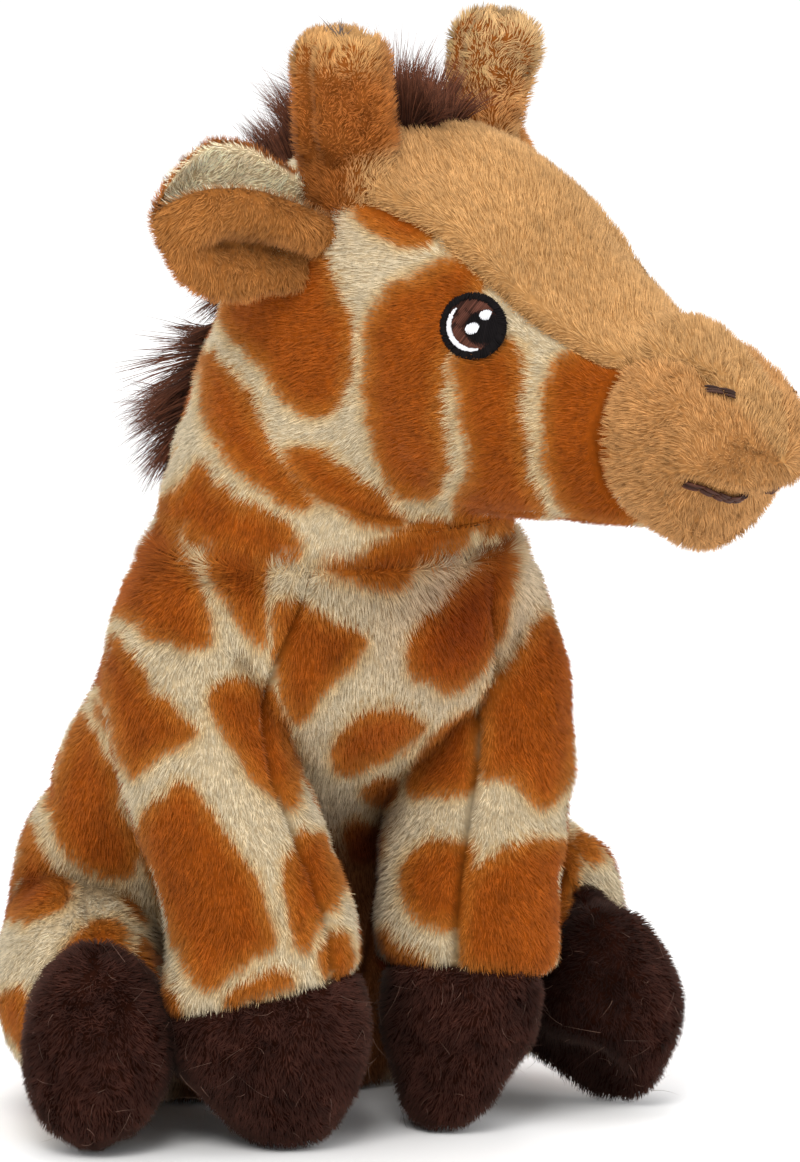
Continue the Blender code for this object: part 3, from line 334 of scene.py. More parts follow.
# ------------------------------------------------------------------- materials
def material(name, rough=0.9, sheen=0.35, sheen_tint=(1, 0.9, 0.75), scale=900.0, amount=0.16,
             spec=0.25, bump=None):
    """Coloured by the mesh's own colours, with a fine mottle over them."""
    mat = bpy.data.materials.new(name)
    mat.use_nodes = True
    nt = mat.node_tree
    bsdf = nt.nodes["Principled BSDF"]
    bsdf.inputs["Roughness"].default_value = rough
    bsdf.inputs["Sheen Weight"].default_value = sheen
    bsdf.inputs["Sheen Roughness"].default_value = 0.45
    bsdf.inputs["Sheen Tint"].default_value = (*sheen_tint, 1)
    bsdf.inputs["Specular IOR Level"].default_value = spec
    att = nt.nodes.new("ShaderNodeAttribute")
    att.attribute_name = "Tone"
    co = nt.nodes.new("ShaderNodeTexCoord")
    tex = nt.nodes.new("ShaderNodeTexNoise")
    tex.inputs["Scale"].default_value = scale
    tex.inputs["Detail"].default_value = 3.0
    ramp = nt.nodes.new("ShaderNodeMapRange")
    ramp.inputs["From Min"].default_value = 0.3
    ramp.inputs["From Max"].default_value = 0.7
    ramp.inputs["To Min"].default_value = 1.0 - amount
    ramp.inputs["To Max"].default_value = 1.0 + amount
    mul = nt.nodes.new("ShaderNodeVectorMath")
    mul.operation = "SCALE"
    nt.links.new(co.outputs["Object"], tex.inputs["Vector"])
    nt.links.new(tex.outputs["Fac"], ramp.inputs["Value"])
    nt.links.new(att.outputs["Color"], mul.inputs[0])
    nt.links.new(ramp.outputs["Result"], mul.inputs["Scale"])
    nt.links.new(mul.outputs["Vector"], bsdf.inputs["Base Color"])
    if bump:
        b = nt.nodes.new("ShaderNodeBump")
        b.inputs["Strength"].default_value = bump
        b.inputs["Distance"].default_value = 0.0003
        nt.links.new(tex.outputs["Fac"], b.inputs["Height"])
        nt.links.new(b.outputs["Normal"], bsdf.inputs["Normal"])
    return mat


PILE = material("pile_body", sheen=0.06, spec=0.08)
PILE_DARK = material("pile_dark", sheen=0.05, sheen_tint=(1, 0.75, 0.6), amount=0.22, spec=0.12)
HAIR = material("mane_hair", rough=0.62, sheen=0.0, amount=0.25, spec=0.10)
BACKING = material("plush_backing", rough=1.0, sheen=0.0, amount=0.2, spec=0.0, bump=0.5)
THREAD = material("thread", rough=0.6, sheen=0.0, amount=0.12, spec=0.15)
EYE_THREAD = material("eye_thread", rough=0.72, sheen=0.0, amount=0.12, spec=0.05)


# ---------------------------------------------------------------------- meshes
def mesh_object(name, V, F, colours, mat, normals=None, uv=None, smooth=True):
    """V in mm in the drawing frame; F an (n, k) array of same-sized faces."""
    me = bpy.data.meshes.new(name)
    V = (np.asarray(V, float) - SEAT_MID) * 0.001
    F = np.asarray(F, np.int32)
    k = F.shape[1]
    me.vertices.add(len(V))
    me.vertices.foreach_set("co", V.astype(np.float32).ravel())
    me.loops.add(F.size)
    me.polygons.add(len(F))
    me.loops.foreach_set("vertex_index", F.ravel())
    me.polygons.foreach_set("loop_start", (np.arange(len(F)) * k).astype(np.int32))
    me.update(calc_edges=True)
    me.validate()
    if smooth:
        me.shade_smooth()
    tone = me.color_attributes.new("Tone", "FLOAT_COLOR", "POINT")
    rgba = np.ones((len(V), 4), np.float32)
    rgba[:, :3] = colours
    tone.data.foreach_set("color", rgba.ravel())
    if uv is not None:
        layer = me.uv_layers.new(name="OFBake")
        layer.data.foreach_set("uv", np.asarray(uv, np.float32).ravel())
    if normals is not None:
        cn = me.attributes.new("custom_normal", "FLOAT_VECTOR", "POINT")
        cn.data.foreach_set("vector", np.asarray(normals, np.float32).ravel())
    me.materials.append(mat)
    ob = bpy.data.objects.new(name, me)
    bpy.context.scene.collection.objects.link(ob)
    return ob


class Form:
    """A closed grid of points, its outward normals, and values carried at each point."""

    def __init__(self, P, wrap=True):
        self.P, self.wrap, self.f = P, wrap, {}
        self.inside = np.array(P.mean(axis=(0, 1)))
        self.poles = [i for i in (0, -1) if wrap and np.ptp(P[i], axis=0).max() < 1e-6]
        self.normals()

    def normals(self):
        P = self.P
        for i in self.poles:
            P[i] = P[i].mean(axis=0)
        up = np.zeros_like(P)
        up[1:-1] = P[2:] - P[:-2]
        up[0], up[-1] = P[1] - P[0], P[-1] - P[-2]
        if self.wrap:
            across = np.roll(P, -1, axis=1) - np.roll(P, 1, axis=1)
        else:
            across = np.gradient(P, axis=1)
        n = unit(np.cross(across, up))
        if (n * (P - self.inside)).sum() < 0:
            n = -n
        if self.wrap:                                # the rings close to a pole share one normal
            for rows in (range(0, 8), range(len(P) - 1, len(P) - 9, -1)):
                small = [i for i in rows if np.ptp(P[i], axis=0).max() < 2.6]
                if small:
                    pole = unit(n[small[-1]].mean(axis=0))
                    for i in small:
                        k = np.ptp(P[i], axis=0).max() / 2.6
                        n[i] = unit(pole * (1 - k) + n[i] * k) if k > 0.05 else pole
        self.N = n
        return self

    def smooth(self, times, keep=0):
        for _ in range(times):
            Q = self.P.copy()
            Q[1:-1] = 0.5 * self.P[1:-1] + 0.125 * (self.P[2:] + self.P[:-2] + np.roll(self.P, 1, 1)[1:-1]
                                                    + np.roll(self.P, -1, 1)[1:-1])
            self.P = Q
        return self.normals()

    def push(self, amount):
        """Moves each point along its normal."""
        self.P = self.P + self.N * np.asarray(amount)[..., None]
        return self.normals()

    def cells(self):
        R, C, _ = self.P.shape
        i, j = np.meshgrid(np.arange(R - 1), np.arange(C if self.wrap else C - 1), indexing="ij")
        a = i * C + j
        b = i * C + (j + 1) % C
        return np.stack([a, b, b + C, a + C], axis=-1).reshape(-1, 4)

    def oriented(self):
        F = self.cells()
        V, N = self.P.reshape(-1, 3), self.N.reshape(-1, 3)
        n = np.cross(V[F[:, 2]] - V[F[:, 0]], V[F[:, 3]] - V[F[:, 1]])
        if (n * N[F[:, 0]]).sum() < 0:
            F = F[:, ::-1]
        return F

    def tree(self):
        V, F = self.P.reshape(-1, 3), self.oriented()
        return BVHTree.FromPolygons(V.tolist(), F.tolist())


def signed(tree, P, reach=24.0):
    """Distance outside a form (negative inside) at each point, or reach when it is farther."""
    flat = P.reshape(-1, 3)
    out = np.full(len(flat), reach)
    way = Vector((0.36, 0.48, 0.80))
    for k, p in enumerate(flat):
        loc, nrm, _, d = tree.find_nearest(p, reach)
        if loc is None:
            continue
        p = Vector(p)
        inside = (p - loc).dot(nrm) < 0
        if inside and d > 1.5:                    # beside a sharp rim the nearest face can mislead
            crossings, start = 0, p
            while crossings < 12:
                hit = tree.ray_cast(start, way)[0]
                if hit is None:
                    break
                crossings += 1
                start = hit + way * 1e-3
            inside = crossings % 2 == 1
        out[k] = -d if inside else d
    return out.reshape(P.shape[:-1])


# ----------------------------------------------------------------------- forms
def crease(d, width):
    return np.exp(-(d / width) ** 2)


def torso_form():
    cols = 200
    t = np.arange(cols) * 2 * math.pi / cols
    rows = [(s, 0.0) for s in (0.0, 0.25, 0.5, 0.7, 0.85, 0.95)]
    rows += [(1.0, z) for z in np.concatenate([[0.0, 0.5, 1.2, 2.0, 3.0], np.arange(4.0, 90.0, 1.05), [RIM_Z]])]
    rows += [(0.985, 91.9), (0.95, 92.7), (0.905, 92.6), (0.865, 91.4), (0.82, 89.0), (0.72, 84.0), (0.0, 82.0)]
    s = np.array([r[0] for r in rows])[:, None]
    z = np.array([r[1] for r in rows])
    zc = np.minimum(z, RIM_Z)
    yc = curve(TORSO_AXIS, zc)[:, 0][:, None]
    a, yf, yb = (c[:, None] for c in curve(TORSO, zc).T)
    y0, b = (yf + yb) / 2, (yb - yf) / 2
    dx, dy = np.sin(t)[None], -np.cos(t)[None]
    A = (dx / a) ** 2 + (dy / b) ** 2
    B = 2 * dy * (yc - y0) / b**2
    C = ((yc - y0) / b) ** 2 - 1
    r = (-B + np.sqrt(B * B - 4 * A * C)) / (2 * A)
    P = np.stack([r * s * dx, yc + r * s * dy, np.broadcast_to(z[:, None], r.shape)], axis=-1)
    form = Form(P).smooth(1)
    seam = np.full(r.shape, 99.0)
    for t0 in (GUSSET, -GUSSET, math.pi):
        turn = np.abs((t - t0 + math.pi) % (2 * math.pi) - math.pi)[None]
        seam = np.minimum(seam, turn * r * s)
    seam = np.where((z[:, None] > 6) & (s > 0.97), seam, 99.0)
    lumps = 1.0 * noise(form.P, 17.0, 3) + 0.5 * noise(form.P, 8.0, 4)
    # soft folds under the arms and where the body bends over the seat
    fold = -1.3 * crease(form.P[..., 2] - 47 - 0.25 * form.P[..., 1] - 2.5 * noise(form.P, 15, 6), 2.6)
    fold *= step(form.P[..., 1], 2, 14)
    up = (s > 0.97) & (z[:, None] < 90)
    inset = INSET * (1 - 0.75 * step(z, 91.0, 92.4))[:, None]
    form.push(np.where(up, (lumps + fold) * step(z, 2, 14)[:, None] * (1 - 0.7 * step(z, 76, 88)[:, None]), 0)
              - inset - 1.2 * crease(seam, 1.2) * step(z, 4, 20)[:, None])
    form.P[..., 2] = np.maximum(form.P[..., 2], 1.0)
    form.f = {"seam": seam, "foot": np.full(r.shape, -99.0)}
    return form.normals()


def front_leg_form(s):
    cols = 96
    t = np.arange(cols) * 2 * math.pi / cols
    rows = [(k, 0.0) for k in (0.0, 0.3, 0.6, 0.85)]
    rows += [(1.0, z) for z in np.concatenate([[0.0, 0.4, 0.9, 1.6, 2.6], np.arange(3.8, 88.0, 0.95), [88.3, 88.5]])]
    k = np.array([r[0] for r in rows])[:, None]
    z = np.array([r[1] for r in rows])
    cx, cy, rx, ry = (c[:, None] for c in curve(FRONT_LEG[s], z).T)
    x = cx + k * rx * np.sin(t)[None]
    y = cy - k * ry * np.cos(t)[None]
    P = np.stack([x, y, np.broadcast_to(z[:, None], x.shape)], axis=-1)
    P[..., 0] *= s
    form = Form(P)
    seam_t = math.radians(-23.0) if s < 0 else math.radians(-34.0)
    turn = np.abs((t - seam_t + math.pi) % (2 * math.pi) - math.pi)[None]
    seam = turn * (rx + ry) / 2
    turn = np.abs((t - seam_t) % (2 * math.pi) - math.pi)[None]
    seam = np.minimum(seam, turn * (rx + ry) / 2)
    hoof = HOOF_Z + 1.3 + 2.6 * np.cos(t)[None] - 2.4 * np.sin(t)[None]
    foot = hoof - P[..., 2]                       # above 0 on the foot
    seam = np.where((foot < 0) & (z[:, None] < 76) & (k > 0.9), seam, 99.0)
    lumps = 0.7 * noise(P, 12.0, 11) + 0.35 * noise(P, 6.0, 12)
    # the foot swells out under its seam, the leg above it too
    swell = 0.9 * crease(foot - 8.0, 6.0) + 0.5 * crease(foot + 5.0, 4.0)
    push = (lumps + swell) * step(z, 1, 6)[:, None] - INSET
    push = push - 1.4 * crease(seam, 1.0) - 1.2 * crease(foot, 1.3)
    if s < 0:                                        # the leg is full at its outer side above the foot
        push = push + 3.8 * step(np.sin(t - 0.5), 0.3, 0.9)[None] * crease(z - 21.0, 8.0)[:, None]
    if s > 0:
        push = push - 0.9 * step(np.sin(t), 0.2, 0.9)[None] * (step(z, 26, 34) * (1 - step(z, 74, 84)))[:, None]
    form.push(push)
    form.P[..., 2] = np.maximum(form.P[..., 2], 0.9)
    form.f = {"seam": np.minimum(seam, np.abs(foot) + 0.8), "foot": foot}
    return form.normals()


def hind_leg_form(s):
    cols = 100
    t = np.arange(cols) * 2 * math.pi / cols
    ln = math.hypot(*HIND_AIM)
    dx, dy = HIND_AIM[0] / ln, HIND_AIM[1] / ln
    px, py = -dy, dx
    back = [(1, math.radians(a)) for a in np.linspace(90, 3, 20)]
    run = [(0, v) for v in np.concatenate([np.arange(0, 41, 1.0), [42, 43, 44, 44.8, 45.4, 45.8, 46.0]])]
    x, w, hz, zc = [], [], [], []
    for kind, v in back + run:
        if kind:
            x.append(-HIP_R * math.sin(v)); w.append(HIP_R * math.cos(v)); hz.append(HIP_HALF_H * math.cos(v)); zc.append(20.5)
        else:
            c = curve(HIND_LEG, [v])[0]
            x.append(v); w.append(c[0]); hz.append(c[1]); zc.append(c[2])
    x, w, hz, zc = (np.array(q)[:, None] for q in (x, w, hz, zc))
    side = w * np.sin(t)[None]
    z = zc + hz * np.cos(t)[None]
    # the foot narrows to its underside
    side = side * (1 - (0.42 if s > 0 else 0.10) * step(-np.cos(t), -0.35, 0.95)[None] * step(x, 12, 26))
    z = z + 1.6 * step(-np.cos(t), 0.2, 1.0)[None] * step(x, 30, 44) * step(hz, 0, 9)
    # the low edges curl up from the floor beside the foot
    low = step(-np.cos(t), 0.05, 0.75)[None]
    under = low * step(x, 0, 9) * (1 - step(x, 20, 31))
    inner = low * step(-np.sin(t), -0.1, 0.6)[None] * step(x, -4, 8) * (1 - step(x, 34, 44))
    outer = low * step(np.sin(t), 0.0, 0.7)[None] * step(x, -12, 0) * (1 - step(x, 22, 36))
    z = z + (np.maximum(5.6 * under, 4.4 * inner) if s > 0 else 1.2 * inner + 3.2 * outer) * step(hz, 0, 9)
    if s > 0:
        side = side * (1 - 0.25 * inner)
    else:
        side = side + 1.0 * low * step(x, 14, 34) * step(hz, 0, 12)
    P = np.stack([HIP[0] + dx * x + px * side, HIP[1] + dy * x + py * side, np.maximum(z, 0.0)], axis=-1)
    if s < 0:                                        # this foot is narrower and nearer the middle
        P[..., 0] = P[..., 0] - 1.5 * step(x, 12, 28) - 0.08 * px * side * step(x, 12, 28)
    P[..., 0] *= s
    form = Form(P).smooth(5)
    # the thigh is full above the foot
    t0 = np.degrees(np.abs(t - math.radians(34.0 if s > 0 else 42.0)))[None]
    full = np.exp(-(t0 / 42.0) ** 2) * step(x, -12, 2) * (1 - step(x, 18, 30.0))
    form.push(full * (9.2 if s > 0 else 2.0))
    form.smooth(2)
    foot = x - HIND_HOOF_X + 1.8 * np.cos(t)[None] - 0.6 * noise(form.P, 9.0, 22)
    if s > 0:                                        # its seam slants back under the leg
        foot = foot + 11.0 * step(-np.sin(t), -0.35, 0.6)[None] * step(-np.cos(t), 0.1, 0.8)[None]
        foot = foot - 3.4 * step(-np.sin(t), -0.3, 0.6)[None] * step(np.cos(t), 0.2, 0.9)[None]
    radius = np.sqrt(np.maximum(w * hz, 1.0))
    seam = np.minimum(np.abs((t + math.pi) % (2 * math.pi) - math.pi), np.abs(t - math.pi))[None] * radius
    seam = np.where((foot < 0) & (x > -8), seam, 99.0)
    lumps = 0.7 * noise(form.P, 12.0, 13) + 0.4 * noise(form.P, 6.0, 14)
    swell = 0.7 * crease(foot - 7.0, 6.0)
    form.push((lumps + swell) * step(form.P[..., 2], 1, 6) - INSET - 0.8 * crease(seam, 1.4) - 1.2 * crease(foot, 1.3))
    form.P[..., 2] = np.maximum(form.P[..., 2], 0.9)
    form.f = {"seam": np.minimum(seam, np.abs(foot) + 0.8), "foot": foot}
    return form.normals()


def mouth_height(l):
    """Height of the mouth's fold at a distance l from the middle of the muzzle."""
    return MOUTH_Z + 3.8 * step(np.abs(l), 4.5, 16.0)


def head_form():
    cols = 168
    t = np.arange(cols) * 2 * math.pi / cols
    ct, st = np.cos(t)[None], np.sin(t)[None]
    rows = [("flat", 77.0)] + [("ball", z) for z in np.arange(77.0, 92.6, 1.2)]
    rows += [("fan", a) for a in np.concatenate([np.arange(180.0, 90.0, -1.6), [90.0]])]
    rows += [("run", v) for v in np.concatenate([np.arange(31.0, 80.0, 0.85), np.arange(80.0, 84.9, 0.55),
                                                [85.2, 85.35, 85.4]])]
    Q, run = [], []
    for kind, v in rows:
        if kind == "flat":
            q = np.zeros((cols, 3)); q[:, 2] = v
            run.append(-60.0)
        elif kind == "ball":
            r = math.sqrt(max(NECK_R**2 - (NECK[2] - v) ** 2, 0))
            q = np.stack([-r * ct[0], r * st[0], np.full(cols, v)], axis=-1)
            run.append(-50.0)
        elif kind == "fan":
            rho, w = curve(HEAD_BACK, [v])[0]
            h, a = (rho - FAN_R) / 2, math.radians(v)
            d = FAN_R + h + h * ct[0]
            q = np.stack([FAN[0] + d * math.cos(a), w * st[0], FAN[1] + d * math.sin(a)], axis=-1)
            run.append(30.0 - (v - 90.0) * 0.45)
        else:
            top, bottom, w = curve(HEAD_FRONT, [v])[0]
            if v >= 85.4:
                w, top, bottom = 0.0, 112.5, 112.5
            # the muzzle is squarer across its top than an ellipse
            power = 2 + 0.25 * step(v, 58, 70) * step(ct[0], -0.2, 0.3)
            square = (np.abs(ct[0]) ** power + np.abs(st[0]) ** power) ** (-1 / power)
            q = np.stack([np.full(cols, v), w * st[0] * square,
                          (top + bottom) / 2 + (top - bottom) / 2 * ct[0] * square], axis=-1)
            run.append(v)
        Q.append(q)
    Q = np.array(Q)
    run = np.array(run)[:, None] * np.ones((1, cols))
    form = Form(Q).smooth(3)
    f, l, z = (form.P[..., i] for i in range(3))
    th = (np.degrees(t)[None] + 180) % 360 - 180 + 0 * run
    ath = np.abs(th)
    rad = np.sqrt(np.maximum(l**2 + 0 * l, 1)) * 0 + 24.0 - 0.11 * np.clip(run - 40, 0, 40)

    # seams: forehead panel to side panels, nape, jaw, muzzle cover, bridge of the nose
    forehead = (ath - (49.0 + 0.06 * (run - 30))) * math.pi / 180 * rad
    bridge_th = 51.0 - 27.0 * step(run, 61.5, 76.5) - 0.5 * np.clip(run - 77, 0, 9)
    bridge = (ath - bridge_th) * math.pi / 180 * rad
    top_line = np.where(run < 63, forehead, bridge)
    nape = np.where(run < 24, ath * math.pi / 180 * 25, 99.0)
    jaw = np.where((run > 28) & (run < MUZZLE_X), (163 - ath) * math.pi / 180 * rad, 99.0)
    cover = run - (MUZZLE_X - 2.2 * np.sin(np.radians(np.clip((ath - 50) * 1.5, 0, 180))))
    cover_d = np.where(ath > 44, np.abs(cover), 99.0)
    along = (run > 21) & (run < 79.5)
    seam = np.minimum(np.where(along, np.abs(top_line), 99.0), cover_d)
    seam = np.minimum(seam, np.minimum(np.abs(nape), np.abs(jaw)))
    tan = np.where(run < 63, (forehead < 0) & (run > 20), (bridge < 0) | (cover > 0))
    muzzle = (cover > 0) & (bridge > 0)

    lumps = 0.8 * noise(form.P, 16.0, 31) + 0.4 * noise(form.P, 7.0, 32)
    inset = INSET * (1 - (run < 0) * (1 - step(z, 90.5, 99.0)))
    push = lumps * step(run, -20, 10) * (1 - 0.6 * step(run, 60, 70)) - inset
    push = push - 0.8 * crease(top_line + 0.6, 1.2) * along * (1 - 0.5 * step(run, 66, 76))
    push = push + 0.5 * crease(top_line + 3.4, 2.4) * along * (1 - step(run, 58, 66))
    push = push - 1.1 * crease(cover_d, 1.2) * step(ath, 44, 62)
    push = push + 1.0 * crease(cover - 5.0, 4.0) * step(ath, 44, 70)
    push = push - 0.5 * crease(nape, 2.0) - 0.3 * crease(jaw, 1.3)
    push = push + 1.3 * crease(z - 91.0, 4.5) * (run < 0) * (1 - step(ath, 80, 140))     # the neck spreads to its hem
    # soft bulge of the cheek and the hollow that the eye is sewn into
    eye = np.hypot(run - EYE_F, (ath - EYE_TH) * math.pi / 180 * 24.5)
    push = push - 0.9 * crease(eye, 5.2) + 0.9 * crease(np.hypot(run - 36, (ath - 112) * 0.4), 9.0)
    # nape folds where the head bends over the neck
    bend = run - (-2.0) - 2.0 * noise(form.P, 14.0, 33)
    push = push - 1.0 * crease(bend, 1.6) * step(ath, 30, 60) * (1 - step(ath, 130, 165))
    form.push(push)

    # mouth: the upper lip hangs over the fold, the lower lip sits back
    f, l, z = (form.P[..., i] for i in range(3))
    line = mouth_height(l)
    below = line - z
    front = step(run, 70, 80)
    form.P[..., 0] = f - 5.0 * step(below, -0.4, 2.2) * front * step(f, 66, 78)
    groove = 1.7 * crease(below - 0.2, 1.1) * step(run, 72.5, 76.0) * (1 + 0.7 * step(run, 81.5, 84.0))
    form.normals()
    form.push(-groove)
    nostril = np.hypot(run - 76.6, (ath - 29.5) * math.pi / 180 * 17)
    form.push(-0.9 * crease(nostril, 2.2))
    lip = np.where((run > 74.0) & (np.abs(l) > 1.8), np.abs(below - 0.2) + 0.5, 99.0)
    local = form.P
    world = Form(head_point(local))
    world.inside = head_point(local.mean(axis=(0, 1)))
    world.normals()
    world.f = {"seam": seam, "foot": np.full(run.shape, -99.0), "tan": tan * 1.0, "muzzle": muzzle * 1.0,
               "lip": lip, "run": run, "th": th, "f": local[..., 0], "l": local[..., 1]}
    return world


HEAD_COLS_N = 168


def post_form(base, axis, aim, rows, cols, dents=0.0, seed=0, sharp=0.0):
    """A round-ended post; rows are (distance, half-width across, half-width along aim)."""
    axis = unit(np.array(axis, float))
    aim = np.array(aim, float) - axis * np.dot(aim, axis)
    aim = unit(aim)
    side = np.cross(axis, aim)
    t = np.arange(cols) * 2 * math.pi / cols
    d = np.linspace(0, 1, 70)
    st = np.array(rows, float)
    arc = np.concatenate([[0], np.cumsum(np.hypot(np.diff(st[:, 0]), np.diff(st[:, 2])))])
    q = curve(np.column_stack([arc, st]), d * arc[-1])
    P = (np.array(base) + axis * q[:, None, 0:1] + aim * (q[:, None, 2:3] * np.cos(t)[None, :, None])
         + side * (q[:, None, 1:2] * np.sin(t)[None, :, None]))
    form = Form(P)
    form.f = {"seam": np.full(P.shape[:2], 99.0), "foot": np.full(P.shape[:2], -99.0),
              "along": np.broadcast_to(q[:, 0:1], P.shape[:2]).copy(),
              "turn": np.broadcast_to(np.degrees(t)[None], P.shape[:2]).copy()}
    return form


def horn_form(s):
    f, l, z = HORN_AT
    base = head_point((f, s * l, z))
    if s > 0:
        base = base + VIEW_RIGHT * 1.4
    if s < 0:
        rows = [(-8.0, 0, 0), (-7.9, 5.0, 5.0), (-3.0, 7.4, 7.4), (1.0, 7.0, 7.5), (5.0, 7.1, 8.2), (10.0, 7.1, 8.5),
                (16.0, 6.8, 7.9), (19.6, 6.4, 7.2), (21.4, 5.3, 5.9), (22.0, 3.0, 3.4), (22.1, 0, 0)]
    else:
        rows = [(-8.0, 0, 0), (-7.9, 5.0, 5.0), (-2.0, 6.4, 6.6), (1.0, 6.2, 6.5), (5.0, 6.5, 7.0), (11.0, 7.0, 7.5),
                (15.6, 6.8, 7.3), (18.6, 5.7, 6.1), (20.4, 3.7, 4.1), (21.1, 1.8, 2.0), (21.2, 0, 0)]
    axis = head_dir(HORN_LEAN[0], s * HORN_LEAN[1], HORN_LEAN[2]) + (VIEW_RIGHT * 0.07 if s > 0 else 0)
    form = post_form(base, axis, head_dir(1, 0, 0), rows, 64)
    # side seams, and a slack pinch across the post
    seam = np.full(form.P.shape[:2], 99.0)
    for t0 in ((73.0, 253.0) if s < 0 else (65.0, 245.0)):
        turn = np.abs((form.f["turn"] - t0 + 180) % 360 - 180)
        seam = np.minimum(seam, np.radians(turn) * 7.0)
    up = step(form.f["along"], 1.0, 5.0) * (1 - step(form.f["along"], 20.6, 21.6))
    form.push(0.7 * noise(form.P, 7.0, 51) - 1.25 - 1.25 * crease(seam, 1.2) * up
              + 0.5 * crease(form.f["along"] - 18, 4) + 0.7 * crease(seam - 2.6, 1.5) * up)
    form.f["seam"] = np.where(up > 0.3, seam, 99.0)
    return form


def ear_form(s, head):
    """One closed two-layer leaf, cupped and open upwards, its front rim rolled over."""
    root = head_point((EAR_AT[0], s * EAR_AT[1], EAR_AT[2]))
    axis = unit(head_dir(EAR_AIM[0], s * EAR_AIM[1], EAR_AIM[2]))
    back = head_dir(-0.76, -s * 0.64, 0.0)
    back = unit(back - axis * back.dot(axis))
    up = np.cross(axis, back)
    if up[2] < 0:
        up = -up
    K, M = 56, 64
    t = np.concatenate([np.linspace(-0.22, 0.74, K - 16), 0.74 + 0.26 * np.sin(np.linspace(0, math.pi / 2, 17))[1:]])[:, None]
    u = np.linspace(0, 1, M)[None]
    a = np.radians(-122.0 + 264.0 * u)
    tc = np.clip(t, 0, 1)
    d = 1.5 + 0.6 + (EAR_LEN - 2.6) * t
    full = np.sin(math.pi * np.clip(0.17 + 0.76 * tc, 0, 1)) ** 0.75
    full = full * (1 - 0.45 * step(-t, -0.06, 0.26))
    close = np.sqrt(np.maximum(1 - (np.clip(t - 0.60, 0, 1) / 0.40) ** 2.6, 0))      # the leaf rounds off to its tip
    tall, deep = (2.2 + 8.6 * full) * close, (1.6 + 4.6 * full) * close
    tip = np.interp(u, [0, 0.68, 0.8, 0.9, 1.0], [0, 0, 1.6, 3.4, 4.6]) * full * close
    c = root + axis * d[..., None] + up * 1.5
    away = unit(root - np.array(head.tree().find_nearest(Vector(root))[0]))
    c = c - away * (8.0 * (1 - step(t, -0.14, 0.17)))[..., None]         # and dives into the side of the head
    # a deep fold runs from the root under the front rim
    mid_fold = -56.0 - 15.0 * np.sin(math.pi * np.clip(t, 0, 0.8) / 0.8)
    fold = 4.6 * np.exp(-((np.degrees(a) - mid_fold) / (15 + 5 * (1 - np.clip(t, 0, 1)))) ** 2) * (1 - step(t, 0.45, 0.85)) * step(t, -0.1, 0.1)
    roll = 1.9 * np.exp(-((np.degrees(a) + 100) / 22) ** 2) * (1 - step(t, 0.7, 1.0))
    roll = roll + 1.2 * np.exp(-((np.degrees(a) + 22) / 24) ** 2) * (1 - step(t, 0.6, 0.95))
    layers = {}
    for key, r in (("out", 0.15), ("in", -1.15)):
        rr = (r - fold + roll) * close
        rr = rr + 0.35 * noise(np.stack([d * 3 + 0 * a, a * 14 + 0 * d, 0 * a + 0 * d], -1), 6.0, 61 + int(s))
        layers[key] = (c + back * ((deep + rr) * np.sin(a))[..., None]
                       - up * ((tall + tip + rr) * np.cos(a))[..., None])
    # tip and root caps are drawn to a narrow edge
    P = np.concatenate([layers["out"], layers["in"][:, ::-1]], axis=1)
    form = Form(P)
    # outward of the closed leaf: away from the middle of its wall
    mid = (layers["out"] + layers["in"]) / 2
    mid = np.concatenate([mid, mid[:, ::-1]], axis=1)
    sign = np.sign(((P - mid) * form.N).sum(axis=-1).mean())
    form.N = form.N * (sign if sign else 1)
    form.f = {"seam": np.full(P.shape[:2], 99.0), "foot": np.full(P.shape[:2], -99.0),
              "lining": np.concatenate([np.zeros((K, M)), np.ones((K, M))], axis=1),
              "along": np.broadcast_to(t, (K, 2 * M)).copy(),
              "u": np.concatenate([np.broadcast_to(u, (K, M)), np.broadcast_to(u[:, ::-1], (K, M))], axis=1)}
    form.f["fold"] = np.concatenate([fold, 0 * fold], axis=1) / 4.6
    turn = np.gradient(layers["out"], axis=1)           # from the front rim down and round the back
    turn = np.concatenate([turn, turn[:, ::-1]], axis=1)
    turn = turn / np.maximum(np.linalg.norm(turn, axis=2, keepdims=True), 1e-6)
    for key, k in (("wx", 0), ("wy", 1), ("wz", 2)):
        form.f[key] = turn[..., k]
    form.axis = axis
    return form


def tail_forms():
    aim = unit(np.array([0.0, 0.34, -1.0]))
    rows = [(-4.0, 0, 0), (-3.9, 2.2, 2.2), (1.2, 2.3, 2.3), (8.0, 2.2, 2.2), (15.0, 2.0, 2.0), (20.4, 1.6, 1.6), (21.0, 0, 0)]
    sleeve = post_form(TAIL_ROOT, aim, (0, 1, 0), rows, 28)
    sleeve.push(-0.3 + 0.25 * noise(sleeve.P, 4.0, 71))
    hang = (sleeve.P - TAIL_ROOT) @ aim               # it comes out of the back seam and then hangs
    sleeve.P = sleeve.P - np.array([0.0, 6.5, -0.6]) * (1 - step(hang, -4.0, 7.0))[..., None]
    sleeve.normals()
    rows = [(19.0, 0, 0), (19.3, 1.4, 1.4), (23.0, 2.4, 2.2), (26.0, 2.2, 2.0), (28.0, 1.2, 1.2), (28.6, 0, 0)]
    tuft = post_form(TAIL_ROOT, aim, (0, 1, 0), rows, 24)
    return sleeve, tuft, aim


def join_softly(a, b, k):
    """Two forms that meet are filled out along the line where they cross."""
    ta, tb = a.tree(), b.tree()
    da, db = signed(tb, a.P), signed(ta, b.P)
    for form, d in ((a, da), (b, db)):
        kk = k(form.P) if callable(k) else k
        form.push(kk / 4 * np.clip(1 - np.abs(d) / kk, 0, 1) ** 2)
        form.f["out"] = np.minimum(form.f.get("out", 99.0), d)
        form.f["near"] = np.minimum(form.f.get("near", 99.0), np.maximum(d, 0) + 9.0 * np.clip((kk - 3.3) / 1.5, 0, 1))


